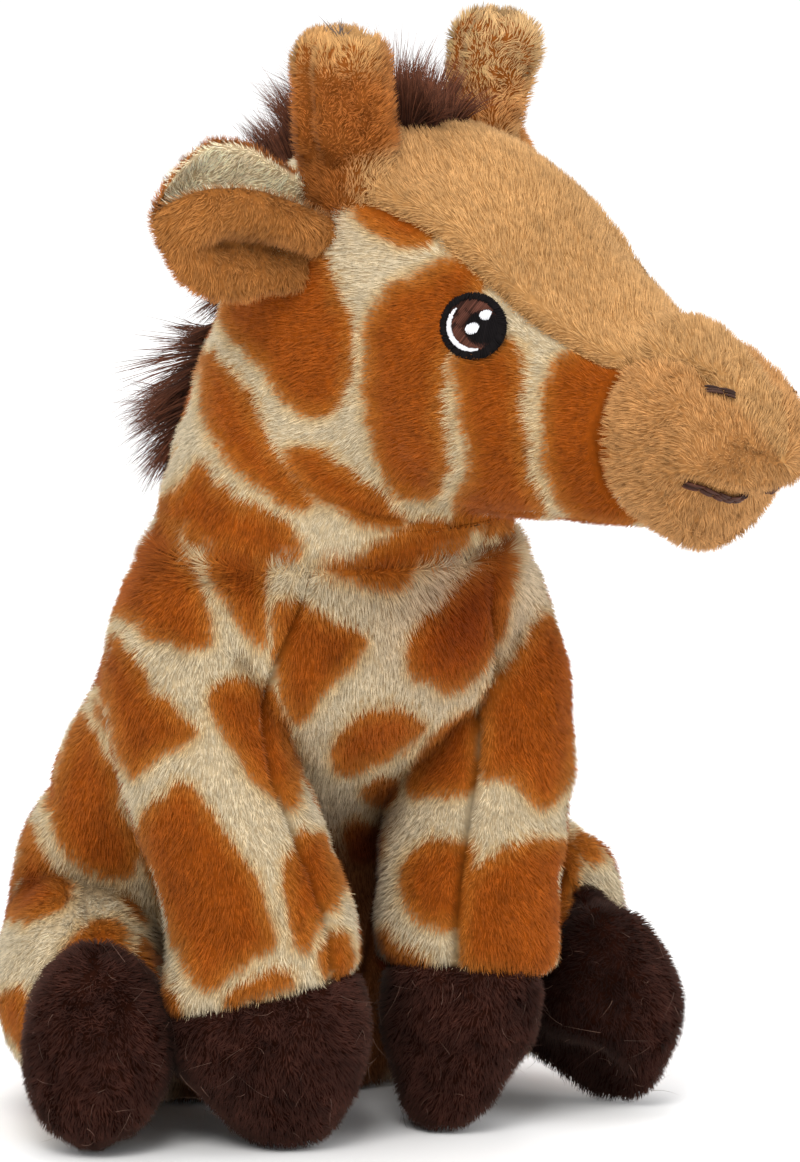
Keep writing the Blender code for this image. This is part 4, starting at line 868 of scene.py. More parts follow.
# ---------------------------------------------------------------- coat pattern
def rounded(poly, times=2):
    q = np.array(poly, float)
    for _ in range(times):
        n = np.roll(q, -1, axis=0)
        q = np.stack([0.78 * q + 0.22 * n, 0.22 * q + 0.78 * n], axis=1).reshape(-1, 2)
    return q


def outline_distance(x, y, poly):
    """Distance in mm to a closed outline, negative inside."""
    best = np.full(len(x), 1e9)
    inside = np.zeros(len(x), bool)
    q = np.roll(poly, -1, axis=0)
    for (ax, ay), (bx, by) in zip(poly, q):
        ex, ey = bx - ax, by - ay
        t = np.clip(((x - ax) * ex + (y - ay) * ey) / max(ex * ex + ey * ey, 1e-9), 0, 1)
        best = np.minimum(best, (x - ax - t * ex) ** 2 + (y - ay - t * ey) ** 2)
        cross = ((ay > y) != (by > y)) & (x < ex * (y - ay) / np.where(ey == 0, 1e-9, ey) + ax)
        inside ^= cross
    d = np.sqrt(best)
    return np.where(inside, -d, d)


OUTLINES = [rounded(p) for p in PATCHES]
SEEDS = None


def make_seeds(points):
    """Evenly scattered centres for the patches that the outlines don't reach."""
    order = np.random.default_rng(7).permutation(len(points))
    kept = np.zeros((0, 3))
    for k in order:
        p = points[k]
        if len(kept) == 0 or ((kept - p) ** 2).sum(axis=1).min() > 17.5**2:
            kept = np.vstack([kept, p])
    return kept


def coat(P, N):
    """Base colour of the coat at points P with normals N."""
    n = len(P)
    x, y = P @ VIEW_RIGHT, P @ VIEW_UP
    x = x + 0.5 * noise(P, 3.0, 81) + 0.3 * noise(P, 1.4, 82)
    y = y + 0.5 * noise(P, 3.0, 83) + 0.3 * noise(P, 1.4, 84)
    drawn = np.full(n, 30.0)
    for poly in OUTLINES:
        lo, hi = poly.min(axis=0) - 4, poly.max(axis=0) + 4
        near = np.nonzero((x > lo[0]) & (x < hi[0]) & (y > lo[1]) & (y < hi[1]))[0]
        if len(near):
            drawn[near] = np.minimum(drawn[near], outline_distance(x[near], y[near], poly))
    W = P + 1.8 * np.stack([noise(P, 9.0, 85), noise(P, 9.0, 86), noise(P, 9.0, 87)], axis=1)
    free = np.empty(n)
    for k in range(0, n, 20000):
        w = W[k:k + 20000]
        d = ((w[:, None] - SEEDS[None]) ** 2).sum(axis=2)
        first = d.argmin(axis=1)
        rows = np.arange(len(w))
        d1 = d[rows, first]
        gap = (d - d1[:, None]) / (2 * np.maximum(np.sqrt(((SEEDS[first][:, None] - SEEDS[None]) ** 2).sum(axis=2)), 1e-6))
        gap[rows, first] = 1e9
        free[k:k + 20000] = 2.3 - gap.min(axis=1)
    facing = step(N @ VIEW + 0.12 * noise(P, 6.0, 88), 0.02, 0.16)
    d = np.where(facing > 0.5, drawn, free)
    inside = (1 - step(d, -0.45, 0.55))[:, None]
    edge_in = step(d, -3.4, -0.2)[:, None]
    edge_out = (1 - step(d, 0.1, 1.9))[:, None]
    tone = noise(P, 5.0, 89)[:, None] * 0.5 + noise(P, 13.0, 90)[:, None] * 0.5
    warm = ORANGE * (1 + 0.22 * tone) * (1 - 0.6 * edge_in) + ORANGE_EDGE * 0.6 * edge_in
    pale = CREAM * (1 + 0.06 * tone) * (1 - 0.55 * edge_out) + CREAM_EDGE * 0.55 * edge_out
    return warm * inside + pale * (1 - inside)


def dark_pile(P):
    return DARK * (1 + 0.35 * noise(P, 3.0, 91)[:, None] + 0.15 * noise(P, 9.0, 92)[:, None])


# ------------------------------------------------------------------------ pile
WARM = np.array([1.0, 0.91, 0.79])         # light that comes back out of the depth of the pile


def scatter(form, dens, rng):
    """Random roots on a form: per-cell density (per mm2) given at the grid points."""
    P = form.P
    R, C, _ = P.shape
    nxt = np.roll(P, -1, axis=1) if form.wrap else P
    cols = C if form.wrap else C - 1
    a, b = P[:-1, :cols], (nxt[:-1, :cols] if form.wrap else P[:-1, 1:])
    c, d = (nxt[1:, :cols] if form.wrap else P[1:, 1:]), P[1:, :cols]
    area = 0.5 * np.linalg.norm(np.cross(c - a, d - b), axis=2)
    w = (area * dens[:-1, :cols]).ravel() * DENSE
    total = w.sum()
    n = int(total)
    cdf = np.cumsum(w) / total
    idx = np.searchsorted(cdf, rng.random(n))
    idx = np.minimum(idx, len(w) - 1)
    i, j = idx // cols, idx % cols
    u, v = rng.random(n), rng.random(n)
    j1 = (j + 1) % C
    weights = ((1 - u) * (1 - v), u * (1 - v), u * v, (1 - u) * v)
    corners = ((i, j), (i, j1), (i + 1, j1), (i + 1, j))

    def take(A):
        out = 0
        for k, (ii, jj) in zip(weights, corners):
            out = out + A[ii, jj] * (k[:, None] if A.ndim == 3 else k)
        return out

    nearest = (np.where(v > 0.5, i + 1, i), np.where(u > 0.5, j1, j))
    return {"P": take(P), "N": unit(take(form.N)),
            **{key: (A[nearest] if key in ("tan", "muzzle", "lining", "th", "turn", "u") else take(A))
               for key, A in form.f.items()}}


def strands(name, root, nrm, tips, width, tone_root, tone_tip, mat, rng, levels=1, droop=None, soft=0.72):
    """Three-sided tapering fibres, one small solid each.

    tips: vector from root to tip; droop: extra bend of the upper part. The lower
    end is sunk under the skin.
    """
    n = len(root)
    root = root - nrm * 0.35
    length = np.linalg.norm(tips, axis=1, keepdims=True)
    d = tips / np.maximum(length, 1e-6)
    any_ = unit(rng.normal(size=(n, 3)))
    s1 = unit(np.cross(d, any_))
    s2 = np.cross(d, s1)
    rings = []
    normals = []
    bend = droop if droop is not None else np.zeros((n, 3))
    for k in range(levels):
        t = k / levels
        c = root + tips * t + bend * t * t
        r = (width * (1 - t) ** 0.7)[:, None] / 2
        for q in range(3):
            ang = 2 * math.pi * q / 3
            out = s1 * math.cos(ang) + s2 * math.sin(ang)
            rings.append(c + out * r)
            normals.append(unit(nrm * soft + out * (1 - soft)))
    rings.append(root + tips + bend)
    normals.append(unit(nrm * soft + d * (1 - soft) * 0.5))
    per = 3 * levels + 1
    V = np.stack(rings, axis=1).reshape(-1, 3)
    NN = np.stack(normals, axis=1).reshape(-1, 3)
    V[:, 2] = np.maximum(V[:, 2], 0.05)
    faces = []
    for k in range(levels - 1):
        for q in range(3):
            a, b = 3 * k + q, 3 * k + (q + 1) % 3
            faces += [(a, b, b + 3), (a, b + 3, a + 3)]
    top = 3 * (levels - 1)
    for q in range(3):
        faces.append((top + q, top + (q + 1) % 3, per - 1))
    faces = np.array(faces)
    F = (np.arange(n)[:, None, None] * per + faces[None]).reshape(-1, 3)
    # each fibre has its own small cell of the colour map
    side = int(math.ceil(math.sqrt(n)))
    cu = np.zeros((per, 2))
    for k in range(levels):
        for q in range(3):
            cu[3 * k + q] = (0.12 + 0.25 * q, 0.1 + 0.8 * k / levels)
    cu[per - 1] = (0.5, 0.9)
    tri = np.array([[cu[v] for v in f] for f in faces])
    for m, f in enumerate(faces):                     # the third side wraps to the far edge
        for h, v in enumerate(f):
            if (v % 3 == 0 and v != per - 1) and any(w % 3 == 2 and w != per - 1 for w in f):
                tri[m, h, 0] = 0.87
    cell = np.stack([np.arange(n) % side, np.arange(n) // side], axis=1)
    UV = ((cell[:, None, None] + tri[None]) / side).reshape(-1, 2)
    t = np.array([k / levels for k in range(levels) for _ in range(3)] + [1.0])[None, :, None]
    T = (tone_root[:, None] * (1 - t) + tone_tip[:, None] * t).reshape(-1, 3)
    return mesh_object(name, V, F, np.clip(T, 0, 1), mat, normals=NN, uv=UV, smooth=True)


def skin_mesh(name, form, colours, mat=None):
    V = form.P.reshape(-1, 3)
    return mesh_object(name, V, form.oriented(), colours.reshape(-1, 3), mat or BACKING)


def tangent(vec, N):
    """The part of a direction that lies along the surface."""
    vec = np.broadcast_to(vec, N.shape)
    return unit(vec - N * (vec * N).sum(axis=1, keepdims=True))


def wander(P, size, seed):
    return np.stack([noise(P, size, seed), noise(P, size, seed + 1), noise(P, size, seed + 2)], axis=1)


def pile(name, q, colour, comb, length, rng, width=0.21, lean=0.98, tuft=0.30, tuft_size=2.4, mat=None,
         light=1.08, shade=0.72, spread=0.16, limit=60000, levels=1, streaks=0.17):
    """Short pile over roots q; returns the mesh pieces."""
    P, N = q["P"], q["N"]
    n = len(P)
    swirl = wander(P, tuft_size, 101) * tuft + wander(P, 7.0, 111) * 0.35 + rng.normal(size=(n, 3)) * spread
    along = unit(tangent(comb, N) + swirl - N * (swirl * N).sum(axis=1, keepdims=True))
    ang = lean * (1 + 0.25 * noise(P, tuft_size * 1.4, 121) + 0.16 * rng.normal(size=n))
    ang = np.clip(ang, 0.1, 1.35)[:, None]
    seam = np.clip(q["seam"], 0, 9)
    short = 0.30 + 0.70 * step(seam, 0.1, 2.0)
    L = length * short * (0.82 + 0.3 * rng.random(n)) * (1 + 0.12 * noise(P, 3.2, 131)) * q.get("long", 1.0)
    tips = (N * np.cos(ang) + along * np.sin(ang)) * L[:, None]
    w = width * (0.75 + 0.5 * rng.random(n))
    # fine streaks that follow the lie of the pile
    lie = tangent(comb, N)
    along_p = (P * lie).sum(axis=1, keepdims=True)
    streak = noise(P - 0.80 * lie * along_p, 0.8, 143)
    vary = (1 + 0.11 * rng.normal(size=n) + streaks * streak + 0.07 * noise(P, tuft_size, 141)
            + 0.06 * noise(P, 6.0, 142))[:, None]
    # painted shade: the pile is darker where it parts over the groove of a seam
    seam_shade = (1 - 0.50 * (1 - step(seam, 0.0, 1.2)))[:, None]
    base = np.clip(colour * vary * seam_shade, 0, 1)
    parts = []
    count = max(1, math.ceil(n / limit))
    order = rng.permutation(n)
    for k in range(count):
        s = order[k::count]
        # painted shade darkens each fibre's root (shade) and painted light brightens its tip (light)
        parts.append(strands(f"{name}_{k + 1}", P[s], N[s], tips[s], w[s], base[s] * shade * WARM, base[s] * light,
                             mat or PILE, rng, levels=levels))
    return parts


def crevice_shade(out, depth=0.45, reach=3.2):
    """Painted shade: the pile is darker where it is pressed against a neighbour."""
    c = 1 - depth * np.exp(-(np.maximum(out, 0) / reach) ** 2)
    return np.stack([c, c**1.2, c**1.45], axis=-1)


def keep(q, mask):
    return {k: v[mask] for k, v in q.items()}


# ------------------------------------------------------------------ embroidery
def threads(name, A, B, nrm, width, bulge, tones, mat=THREAD, steps=6, ring=6):
    """Satin stitches: each thread dips in at A and B and bows out between them."""
    A, B, nrm = (np.asarray(v, float) for v in (A, B, nrm))
    n = len(A)
    width = np.broadcast_to(np.asarray(width, float), (n,))
    bulge = np.broadcast_to(np.asarray(bulge, float), (n,))
    d = unit(B - A)
    side = unit(np.cross(nrm, d))
    out = np.cross(d, side)
    rows, norms = [], []
    for k in range(steps + 1):
        t = k / steps
        c = A + (B - A) * t + out * (bulge * math.sin(math.pi * t) ** 0.55)[:, None]
        r = (width / 2 * (0.45 + 0.55 * math.sin(math.pi * t) ** 0.4))[:, None]
        for q in range(ring):
            a = 2 * math.pi * q / ring
            dirn = side * math.cos(a) + out * math.sin(a)
            rows.append(c + dirn * r)
    per = (steps + 1) * ring
    V = np.stack(rows, axis=1).reshape(-1, 3)
    faces = []
    for k in range(steps):
        for q in range(ring):
            a, b = k * ring + q, k * ring + (q + 1) % ring
            faces.append((a, b, b + ring, a + ring))
    faces = np.array(faces)
    F = (np.arange(n)[:, None, None] * per + faces[None]).reshape(-1, 4)
    side_n = int(math.ceil(math.sqrt(n)))
    uvf = []
    for f in faces:
        k, q = f[0] // ring, f[0] % ring
        x0, x1 = 0.1 + 0.8 * q / ring, 0.1 + 0.8 * (q + 1) / ring
        y0, y1 = 0.1 + 0.8 * k / steps, 0.1 + 0.8 * (k + 1) / steps
        uvf.append([(x0, y0), (x1, y0), (x1, y1), (x0, y1)])
    uvf = np.array(uvf)
    cell = np.stack([np.arange(n) % side_n, np.arange(n) // side_n], axis=1)
    UV = ((cell[:, None, None] + uvf[None]) / side_n).reshape(-1, 2)
    T = np.repeat(np.asarray(tones, float), per, axis=0)
    return mesh_object(name, V, F, np.clip(T, 0, 1), mat, uv=UV)


class Surface:
    """Looks points up on the finished head by section and angle round it."""

    def __init__(self, form):
        self.form = form
        self.run = form.f["run"][:, 0]

    def at(self, run, th):
        r = np.interp(run, self.run, np.arange(len(self.run)))
        C = self.form.P.shape[1]
        c = (np.asarray(th, float) % 360) / 360 * C
        i, j = np.floor(r).astype(int), np.floor(c).astype(int)
        i = np.minimum(i, len(self.run) - 2)
        u, v = (r - i)[..., None], (c - j)[..., None]
        j, j1 = j % C, (j + 1) % C
        P, N = self.form.P, self.form.N

        def mix(A):
            return ((1 - u) * (1 - v) * A[i, j] + u * (1 - v) * A[i + 1, j] + u * v * A[i + 1, j1]
                    + (1 - u) * v * A[i, j1])
        return mix(P), unit(mix(N))


def eye(name, surface, s, rng):
    c, n = (v[0] for v in surface.at(np.array([EYE_F]), np.array([s * EYE_TH])))
    n = unit(0.75 * n + 0.25 * head_dir(0.05, s * 1.0, 0.15))
    ex = unit(head_dir(1, 0, 0) - n * n.dot(head_dir(1, 0, 0)))
    ey = unit(np.array([0, 0, 1.0]) - n * n[2] - ex * ex[2])
    base = c + n * 1.05

    def put(x, y, lift=0.0):
        x, y = np.asarray(x, float), np.asarray(y, float)
        r2 = x * x + y * y
        return base + x[..., None] * ex + y[..., None] * ey + n * (lift - 0.016 * r2)[..., None]

    # padded ground under the stitches
    rows = [(0.0, 0.12), (2.0, 0.1), (4.0, 0.02), (4.9, -0.05), (5.1, -0.35), (4.9, -1.2), (3.0, -1.6), (0.0, -1.7)]
    t = np.arange(40) * 2 * math.pi / 40
    G = np.array([[put(r * math.cos(a), r * math.sin(a), h) for a in t] for r, h in rows])
    ground = skin_mesh(f"{name}_ground", Form(G), np.full((len(rows), 40, 3), 0.006), EYE_THREAD)

    A, B, W, H, T = [], [], [], [], []

    def add(x0, y0, x1, y1, lift, w, h, tone, vary=0.12):
        A.append(put(x0, y0, lift)); B.append(put(x1, y1, lift)); W.append(w); H.append(h)
        T.append(np.array(tone) * (1 + vary * rng.normal()))

    black, brown, dark_brown = (0.0065, 0.0052, 0.0055), (0.082, 0.031, 0.021), (0.030, 0.013, 0.010)
    white = (0.70, 0.70, 0.73)
    # iris: rows of slanted satin stitches
    ang = math.radians(62.0)
    ca, sa = math.cos(ang), math.sin(ang)
    for o in np.arange(-4.2, 4.21, 0.27):
        half = math.sqrt(max(4.3**2 - o * o, 0))
        if half < 0.5:
            continue
        cuts = np.linspace(-half, half, max(2, int(half / 1.1) + 1)) + rng.normal(size=max(2, int(half / 1.1) + 1)) * 0.12
        for a, b in zip(cuts[:-1], cuts[1:]):
            m = (a + b) / 2
            x, y = o * -sa + m * ca, o * ca + m * sa
            tone = brown if math.hypot(x - 0.2, y - 0.1) < 3.6 else dark_brown
            add(o * -sa + a * ca, o * ca + a * sa, o * -sa + b * ca, o * ca + b * sa, 0.10, 0.33, 0.10, tone, 0.22)
    # pupil
    for o in np.arange(-2.85, 2.86, 0.25):
        half = math.sqrt(max(2.95**2 - o * o, 0))
        if half > 0.4:
            add(1.75 + o, -0.15 - half, 1.75 + o + 0.15, -0.15 + half, 0.26, 0.32, 0.14, black)
    # outline: short stitches across a ring
    for a in np.arange(0, 360, 3.1):
        q = math.radians(a + rng.normal() * 0.5)
        wide = 1.35 + 0.25 * math.cos(q - math.radians(-35)) + 0.12 * rng.normal()
        r1, r0 = EYE_R + 0.06 * rng.normal(), EYE_R - wide
        q2 = q + 0.10
        add(r0 * math.cos(q2), r0 * math.sin(q2), r1 * math.cos(q), r1 * math.sin(q), 0.16, 0.34, 0.22, black)
    # pale crescent on the rear and lower side
    for a in np.arange(142, 290, 3.4):
        q = math.radians(a)
        taper = math.sin(math.pi * (a - 138) / 155) ** 0.6
        wide = 0.72 * taper + 0.1 + 0.10 * rng.normal()
        rm = 3.72
        q2 = q + 0.07
        add((rm - wide / 2) * math.cos(q2), (rm - wide / 2) * math.sin(q2), (rm + wide / 2) * math.cos(q),
            (rm + wide / 2) * math.sin(q), 0.34, 0.32, 0.14, white, 0.05)
    # two glints
    for cx, cy, rx, ry, tilt in ((1.75, 1.95, 0.80, 0.84, 0.25), (0.0, -0.45, 0.84, 0.98, 0.3)):
        for o in np.arange(-rx, rx + 0.01, 0.27):
            half = ry * math.sqrt(max(1 - (o / (rx + 0.15)) ** 2, 0))
            if half > 0.15:
                add(cx + o - tilt * half, cy - half, cx + o + tilt * half, cy + half, 0.44, 0.34, 0.16, white, 0.04)
    stitches = threads(name, A, B, np.broadcast_to(n, (len(A), 3)), W, H, T, mat=EYE_THREAD)
    return stitches, ground, c


def line_of_stitches(name, pts, nrm, rng, width, thick, reach, tone, gap=0.42, rows=3, lift=0.5):
    """A drawn line made of overlapping stitches that run along it."""
    seg = np.linalg.norm(np.diff(pts, axis=0), axis=1)
    s = np.concatenate([[0], np.cumsum(seg)])

    def at(x, A):
        return np.stack([np.interp(x, s, A[:, k]) for k in range(3)], axis=-1)
    A, B, N, W, H, T = [], [], [], [], [], []
    lift = np.broadcast_to(np.asarray(lift, float), (len(pts),))
    for r in range(rows):
        off = (r - (rows - 1) / 2) * width / max(rows, 1)
        x = rng.random() * gap
        while x < s[-1] - 0.3:
            x1 = min(x + reach * (0.8 + 0.4 * rng.random()), s[-1])
            p, q = at(x, pts), at(x1, pts)
            n = unit(at((x + x1) / 2, nrm))
            side = unit(np.cross(n, q - p))
            o = off + 0.07 * rng.normal()
            A.append(p + side * o + n * np.interp(x, s, lift))
            B.append(q + side * (off + 0.07 * rng.normal()) + n * np.interp(x1, s, lift))
            N.append(n); W.append(thick); H.append(0.16 + 0.08 * rng.random())
            T.append(np.array(tone) * (1 + 0.25 * rng.normal()))
            x = x1 - 0.25 * reach * rng.random() + gap * 0.2
    return threads(name, A, B, N, W, H, np.abs(T))


# -------------------------------------------------------------------- assembly
def leg_softness(s):
    """The shoulder runs into the body on its outer side; elsewhere the leg only touches it."""
    def k(P):
        z = P[..., 2]
        c = curve(FRONT_LEG[s], z)
        outer = step((P[..., 0] * s - c[..., 0]) / np.maximum(c[..., 2], 4.0), 0.0, 0.75)
        return 2.0 + 9.0 * np.maximum(outer, step(z, 80, 86)) * step(z, 55, 69)
    return k


torso = torso_form()
front = {s: front_leg_form(s) for s in (1, -1)}
hind = {s: hind_leg_form(s) for s in (1, -1)}
head = head_form()
horn = {s: horn_form(s) for s in (1, -1)}
horn_base = {s: head_point((HORN_AT[0], s * HORN_AT[1], HORN_AT[2])) for s in (1, -1)}
ear = {s: ear_form(s, head) for s in (1, -1)}
sleeve, tuft, tail_aim = tail_forms()

for s in (1, -1):
    join_softly(torso, front[s], leg_softness(s))
    join_softly(torso, hind[s], 3.2)
    join_softly(head, horn[s], lambda P: 2.4 + 6.0 * step((P - horn_base[s]) @ head_dir(1, 0, 0), -2, 7))
for form, others in ((front[1], (hind[1],)), (front[-1], (hind[-1],)), (hind[1], (front[1],)),
                     (hind[-1], (front[-1],)), (head, (torso,)), (torso, (head,)), (ear[1], (head,)),
                     (ear[-1], (head,)), (sleeve, (torso,)), (tuft, ())):
    for o in others:
        d = signed(o.tree(), form.P)
        form.f["out"] = np.minimum(form.f.get("out", 99.0), d)
        form.f["near"] = np.minimum(form.f.get("near", 99.0), np.maximum(d, 0) + (6.0 if {o, form} == {head, torso} else 0))
        if {o, form} == {head, torso}:
            form.f["hem"] = np.maximum(d, 0)
    for key in ("out", "near"):
        form.f.setdefault(key, np.full(form.P.shape[:2], 99.0))
for form in (torso, front[1], front[-1]):             # the shoulders are hardly shaded where they leave the body
    form.f["near"] = form.f["near"] * (1 + 1.6 * step(form.P[..., 2], 58, 74))

SEEDS = make_seeds(np.concatenate([f.P[2:-2].reshape(-1, 3)[::17] for f in
                                   (torso, front[1], front[-1], hind[1], hind[-1], head)]))

SIDE = {1: "left", -1: "right"}
DOWN = np.array([0.0, 0.0, -1.0])
surface = Surface(head)
eye_spots = {s: surface.at(np.array([EYE_F]), np.array([s * EYE_TH]))[0][0] for s in (1, -1)}
pads, tops = {}, {}               # skins, and everything that moves like each of them


def shadow(P, out):
    """Painted shade: crevices, the belly shut in between the front legs, the chest below the head and the coat near the
    floor are darkened.
    """
    belly = (1 - step(np.abs(P[..., 0]), 16, 26)) * (1 - step(P[..., 2], 38, 58))
    belly = belly * (1 - step(P[..., 1], 8, 16)) * step(P[..., 1], -21, -14)
    low = 1 - step(P[..., 2], 2, 16)
    chin = np.exp(-((P @ VIEW_RIGHT - 24.0) / 15.0) ** 2 - ((P @ VIEW_UP - 78.0) / 12.0) ** 2)[..., None]
    chest = np.exp(-((P @ VIEW_RIGHT - 23.5) / 5.5) ** 2 - ((P @ VIEW_UP - 78.0) / 8.5) ** 2)[..., None]
    return (crevice_shade(out) * (1 - chest * np.array([0.34, 0.44, 0.44])) * (1 - 0.90 * belly[..., None] * np.array([0.84, 1.0, 1.06])) * (1 - 0.12 * low[..., None])
            * (1 - chin * np.array([0.20, 0.30, 0.34])))


def coloured_skin(name, form, foot=False):
    C = coat(form.P.reshape(-1, 3), form.N.reshape(-1, 3)).reshape(form.P.shape)
    if foot:
        k = step(form.f["foot"], -0.5, 0.3)[..., None]
        C = C * (1 - k) + dark_pile(form.P.reshape(-1, 3)).reshape(C.shape) * k
    # painted shade: the skin under the pile is darkened, most in the grooves of the seams
    near = step(form.f["seam"], 0.0, 1.2)[..., None]
    return skin_mesh(name, form, C * WARM * (0.28 + 0.27 * near) * shadow(form.P, form.f["near"]))


def coat_pile(name, form, rng, dens, length, comb, **kw):
    """Pile over a form that has coat on it and perhaps a dark foot."""
    low = form.P[..., 2] < 1.2
    hidden = form.f["out"] < -1.2
    dn = np.where(hidden, 0, dens) * np.where(low, 0.35, 1.0)
    q = scatter(form, dn, rng)
    q = keep(q, (q["out"] > -0.7))
    foot = q["foot"] + 0.25 * rng.normal(size=len(q["P"])) > 0
    parts = []
    a = keep(q, ~foot)
    if name == "torso_pile":                         # the pile stands up and closes over the neck seam
        hem = 1 - step(a["hem"], 0.3, 4.5)
        a["long"] = 1 + 0.5 * hem
        kw["lean"] = 0.98 * (1 - 0.75 * hem)
    c = coat(a["P"], a["N"]) * shadow(a["P"], a["near"])
    if name.startswith("front"):                     # the leg's seam is drawn in tight, and painted shade darkens the pile along it
        c = c * (1 - 0.6 * crease(a["seam"], 0.9) * (a["foot"] < -1.5))[:, None]
    if len(a["P"]):
        parts += pile(name, a, c, comb(a) if callable(comb) else comb,
                      length, rng, **kw)
    b = keep(q, foot)
    if len(b["P"]) > 50:
        down = DOWN + 0.6 * wander(b["P"], 5.0, 151)
        shade = np.ones((len(b["P"]), 1))
        if name == "hind_leg_left_pile":             # its inner half lies in the shade of the front leg
            across = b["P"] @ VIEW_RIGHT
            shade -= 0.52 * step(across.max() - across, 2, 11)[:, None]
        parts += pile(name + "_foot", b, dark_pile(b["P"]) * crevice_shade(b["near"]) * shade, down, 1.95, rng, width=0.23, lean=0.72,
                      tuft=1.05, tuft_size=1.7, mat=PILE_DARK, light=2.2, shade=0.32, spread=0.34, streaks=0.3)
    return parts


# body
pads["torso"] = coloured_skin("torso_skin", torso)
tops["torso"] = coat_pile("torso_pile", torso, RNG, 9.0, 2.05, DOWN)

for s in (1, -1):
    for kind, forms in (("front", front), ("hind", hind)):
        key = f"{kind}_leg_{SIDE[s]}"
        pads[key] = coloured_skin(f"{key}_skin", forms[s], foot=True)
        tops[key] = coat_pile(f"{key}_pile", forms[s], RNG, 9.0, 2.0, DOWN)

# head
run, th = head.f["run"], head.f["th"]
nape_half = 5.6
on_mane = (run > -9) & (run < 26.0) & (np.abs(th) * math.pi / 180 * 25 < nape_half)
C = coat(head.P.reshape(-1, 3), head.N.reshape(-1, 3)).reshape(head.P.shape)
tanned, muzzled = head.f["tan"][..., None], head.f["muzzle"][..., None]
C = C * (1 - tanned) + (TAN * (1 - muzzled) + TAN_MUZZLE * muzzled) * tanned
C = np.where(on_mane[..., None], MANE * 1.0, C)
# painted shade: the skin under the pile is darkened, most in the grooves of the seams and in crevices
near = step(head.f["seam"], 0.0, 1.2)[..., None]
pads["head"] = skin_mesh("head_skin", head, C * WARM * (0.30 + 0.28 * near) * crevice_shade(head.f["near"]))


def head_comb(q):
    """Backwards along the head, down on the neck, upright on the forehead."""
    neck = (1 - step(q["run"], -12, 12))[:, None]
    brow = (q["tan"] * (1 - q["muzzle"]) * (1 - step(q["run"], 62, 70)))[:, None]
    back = head_dir(-1, 0, -0.18)
    return DOWN * neck + (1 - neck) * (back * (1 - brow) + (head_dir(-0.7, 0, 0.75)) * brow)


dens = np.where(head.f["out"] < -1.2, 0, 10.0) * np.where(on_mane, 0.15, 1.0)
q = scatter(head, dens, RNG)
clear = np.ones(len(q["P"]), bool)
for s in (1, -1):
    clear &= np.linalg.norm(q["P"] - eye_spots[s], axis=1) > EYE_R - 0.75
q = keep(q, clear & (q["out"] > -0.7))
isman = (q["run"] > -9) & (q["run"] < 25.5) & (np.abs(q["th"]) * math.pi / 180 * 25 < nape_half)
istan = (q["tan"] > 0.5) & ~isman
ismuz = istan & (q["run"] > 62)
tops["head"] = []
a = keep(q, ~istan & ~isman)
hem = (1 - step(a["hem"], 0.5, 5.0)) * (a["run"] < 4)
a["long"] = 1 + 1.0 * hem
tops["head"] += pile("head_pile", a, coat(a["P"], a["N"]) * crevice_shade(a["near"]) * 0.96, head_comb(a), 1.9, RNG, width=0.20,
                     lean=1.0 + 0.15 * hem, tuft=0.30)
# the forehead's pile hangs over its seams, the muzzle's over the edge of its cover
edge = crease(q["seam"], 2.2)[:, None]
outward = np.where(q["th"] > 0, 1.0, -1.0)[:, None] * head_dir(0, 1, 0) - np.array([0, 0, 0.9])
q["seam"] = np.where(istan, np.maximum(q["seam"], 1.5), q["seam"])
q["seam"] = np.minimum(q["seam"], q["lip"])
a = keep(q, istan & ~ismuz)
mott = (1 + 0.10 * noise(a["P"], 9.0, 161) + 0.05 * noise(a["P"], 3.0, 162))[:, None]
over = 1.6 * edge[istan & ~ismuz] * outward[istan & ~ismuz]
tops["head"] += pile("forehead_pile", a, TAN * mott, unit(head_comb(a)) + over, 2.0, RNG, lean=0.84, tuft=0.46,
                     tuft_size=1.8, width=0.20, shade=0.66, streaks=0.22)
a = keep(q, ismuz)
mott = (1 + 0.10 * noise(a["P"], 7.0, 163) + 0.07 * noise(a["P"], 2.5, 164))[:, None]
mz = a["muzzle"][:, None]
tops["head"] += pile("muzzle_pile", a, (TAN * (1 - mz) + TAN_MUZZLE * mz) * mott, head_comb(a), 2.0, RNG, lean=0.78,
                     tuft=0.95, tuft_size=1.9, width=0.21, shade=0.50, light=1.12, streaks=0.28)

# mane: longer hair set along the nape and up between the horns
dens = np.where((run > -9) & (run < 26.2) & (np.abs(th) * math.pi / 180 * 25 < 4.6), 17.0, 0.0)
q = scatter(head, dens, RNG)
n = len(q["P"])
top = step(q["run"], 5, 13)[:, None]
crown = step(q["run"], 21.5, 26)[:, None]
lay = (head_dir(-0.10, 0, 0.95) * top * (0.25 + 0.75 * (1 - step(q["run"], 15, 19)))[:, None]
       + head_dir(-0.15, 0, -0.95) * (1 - top) + head_dir(0.9, 0, 0) * crown)
clump = wander(q["P"], 2.6, 171)
side_way = head_dir(0, 1, 0) * (q["th"] / 11.0 * 0.22)[:, None]
dirs = unit(q["N"] * 1.0 + lay * 0.75 + clump * 0.42 + side_way + RNG.normal(size=(n, 3)) * 0.09)
L = (14.5 + 4.0 * crease(q["run"] + 2.0, 3.0) - 4.5 * crease(q["run"] - 4.4, 2.8)
     + 4.0 * crease(q["run"] - 20.0, 2.4)
     - 3.6 * crease(q["run"] - 11.0, 3.4) - 5.0 * step(q["run"], 22, 26)) * (0.60 + 0.45 * RNG.random(n)) * (1 + 0.16 * noise(q["P"], 4.0, 175))
L *= 0.3 + 0.7 * step(q["run"], -10.5, -3)
droop = (DOWN * 0.16 + clump * 0.20 + RNG.normal(size=(n, 3)) * 0.06) * L[:, None]
tone = MANE * (1 + 0.35 * RNG.normal(size=n) + 0.3 * noise(q["P"], 2.6, 176)).clip(0.35, 2.2)[:, None]
half = n // 2
mane = []
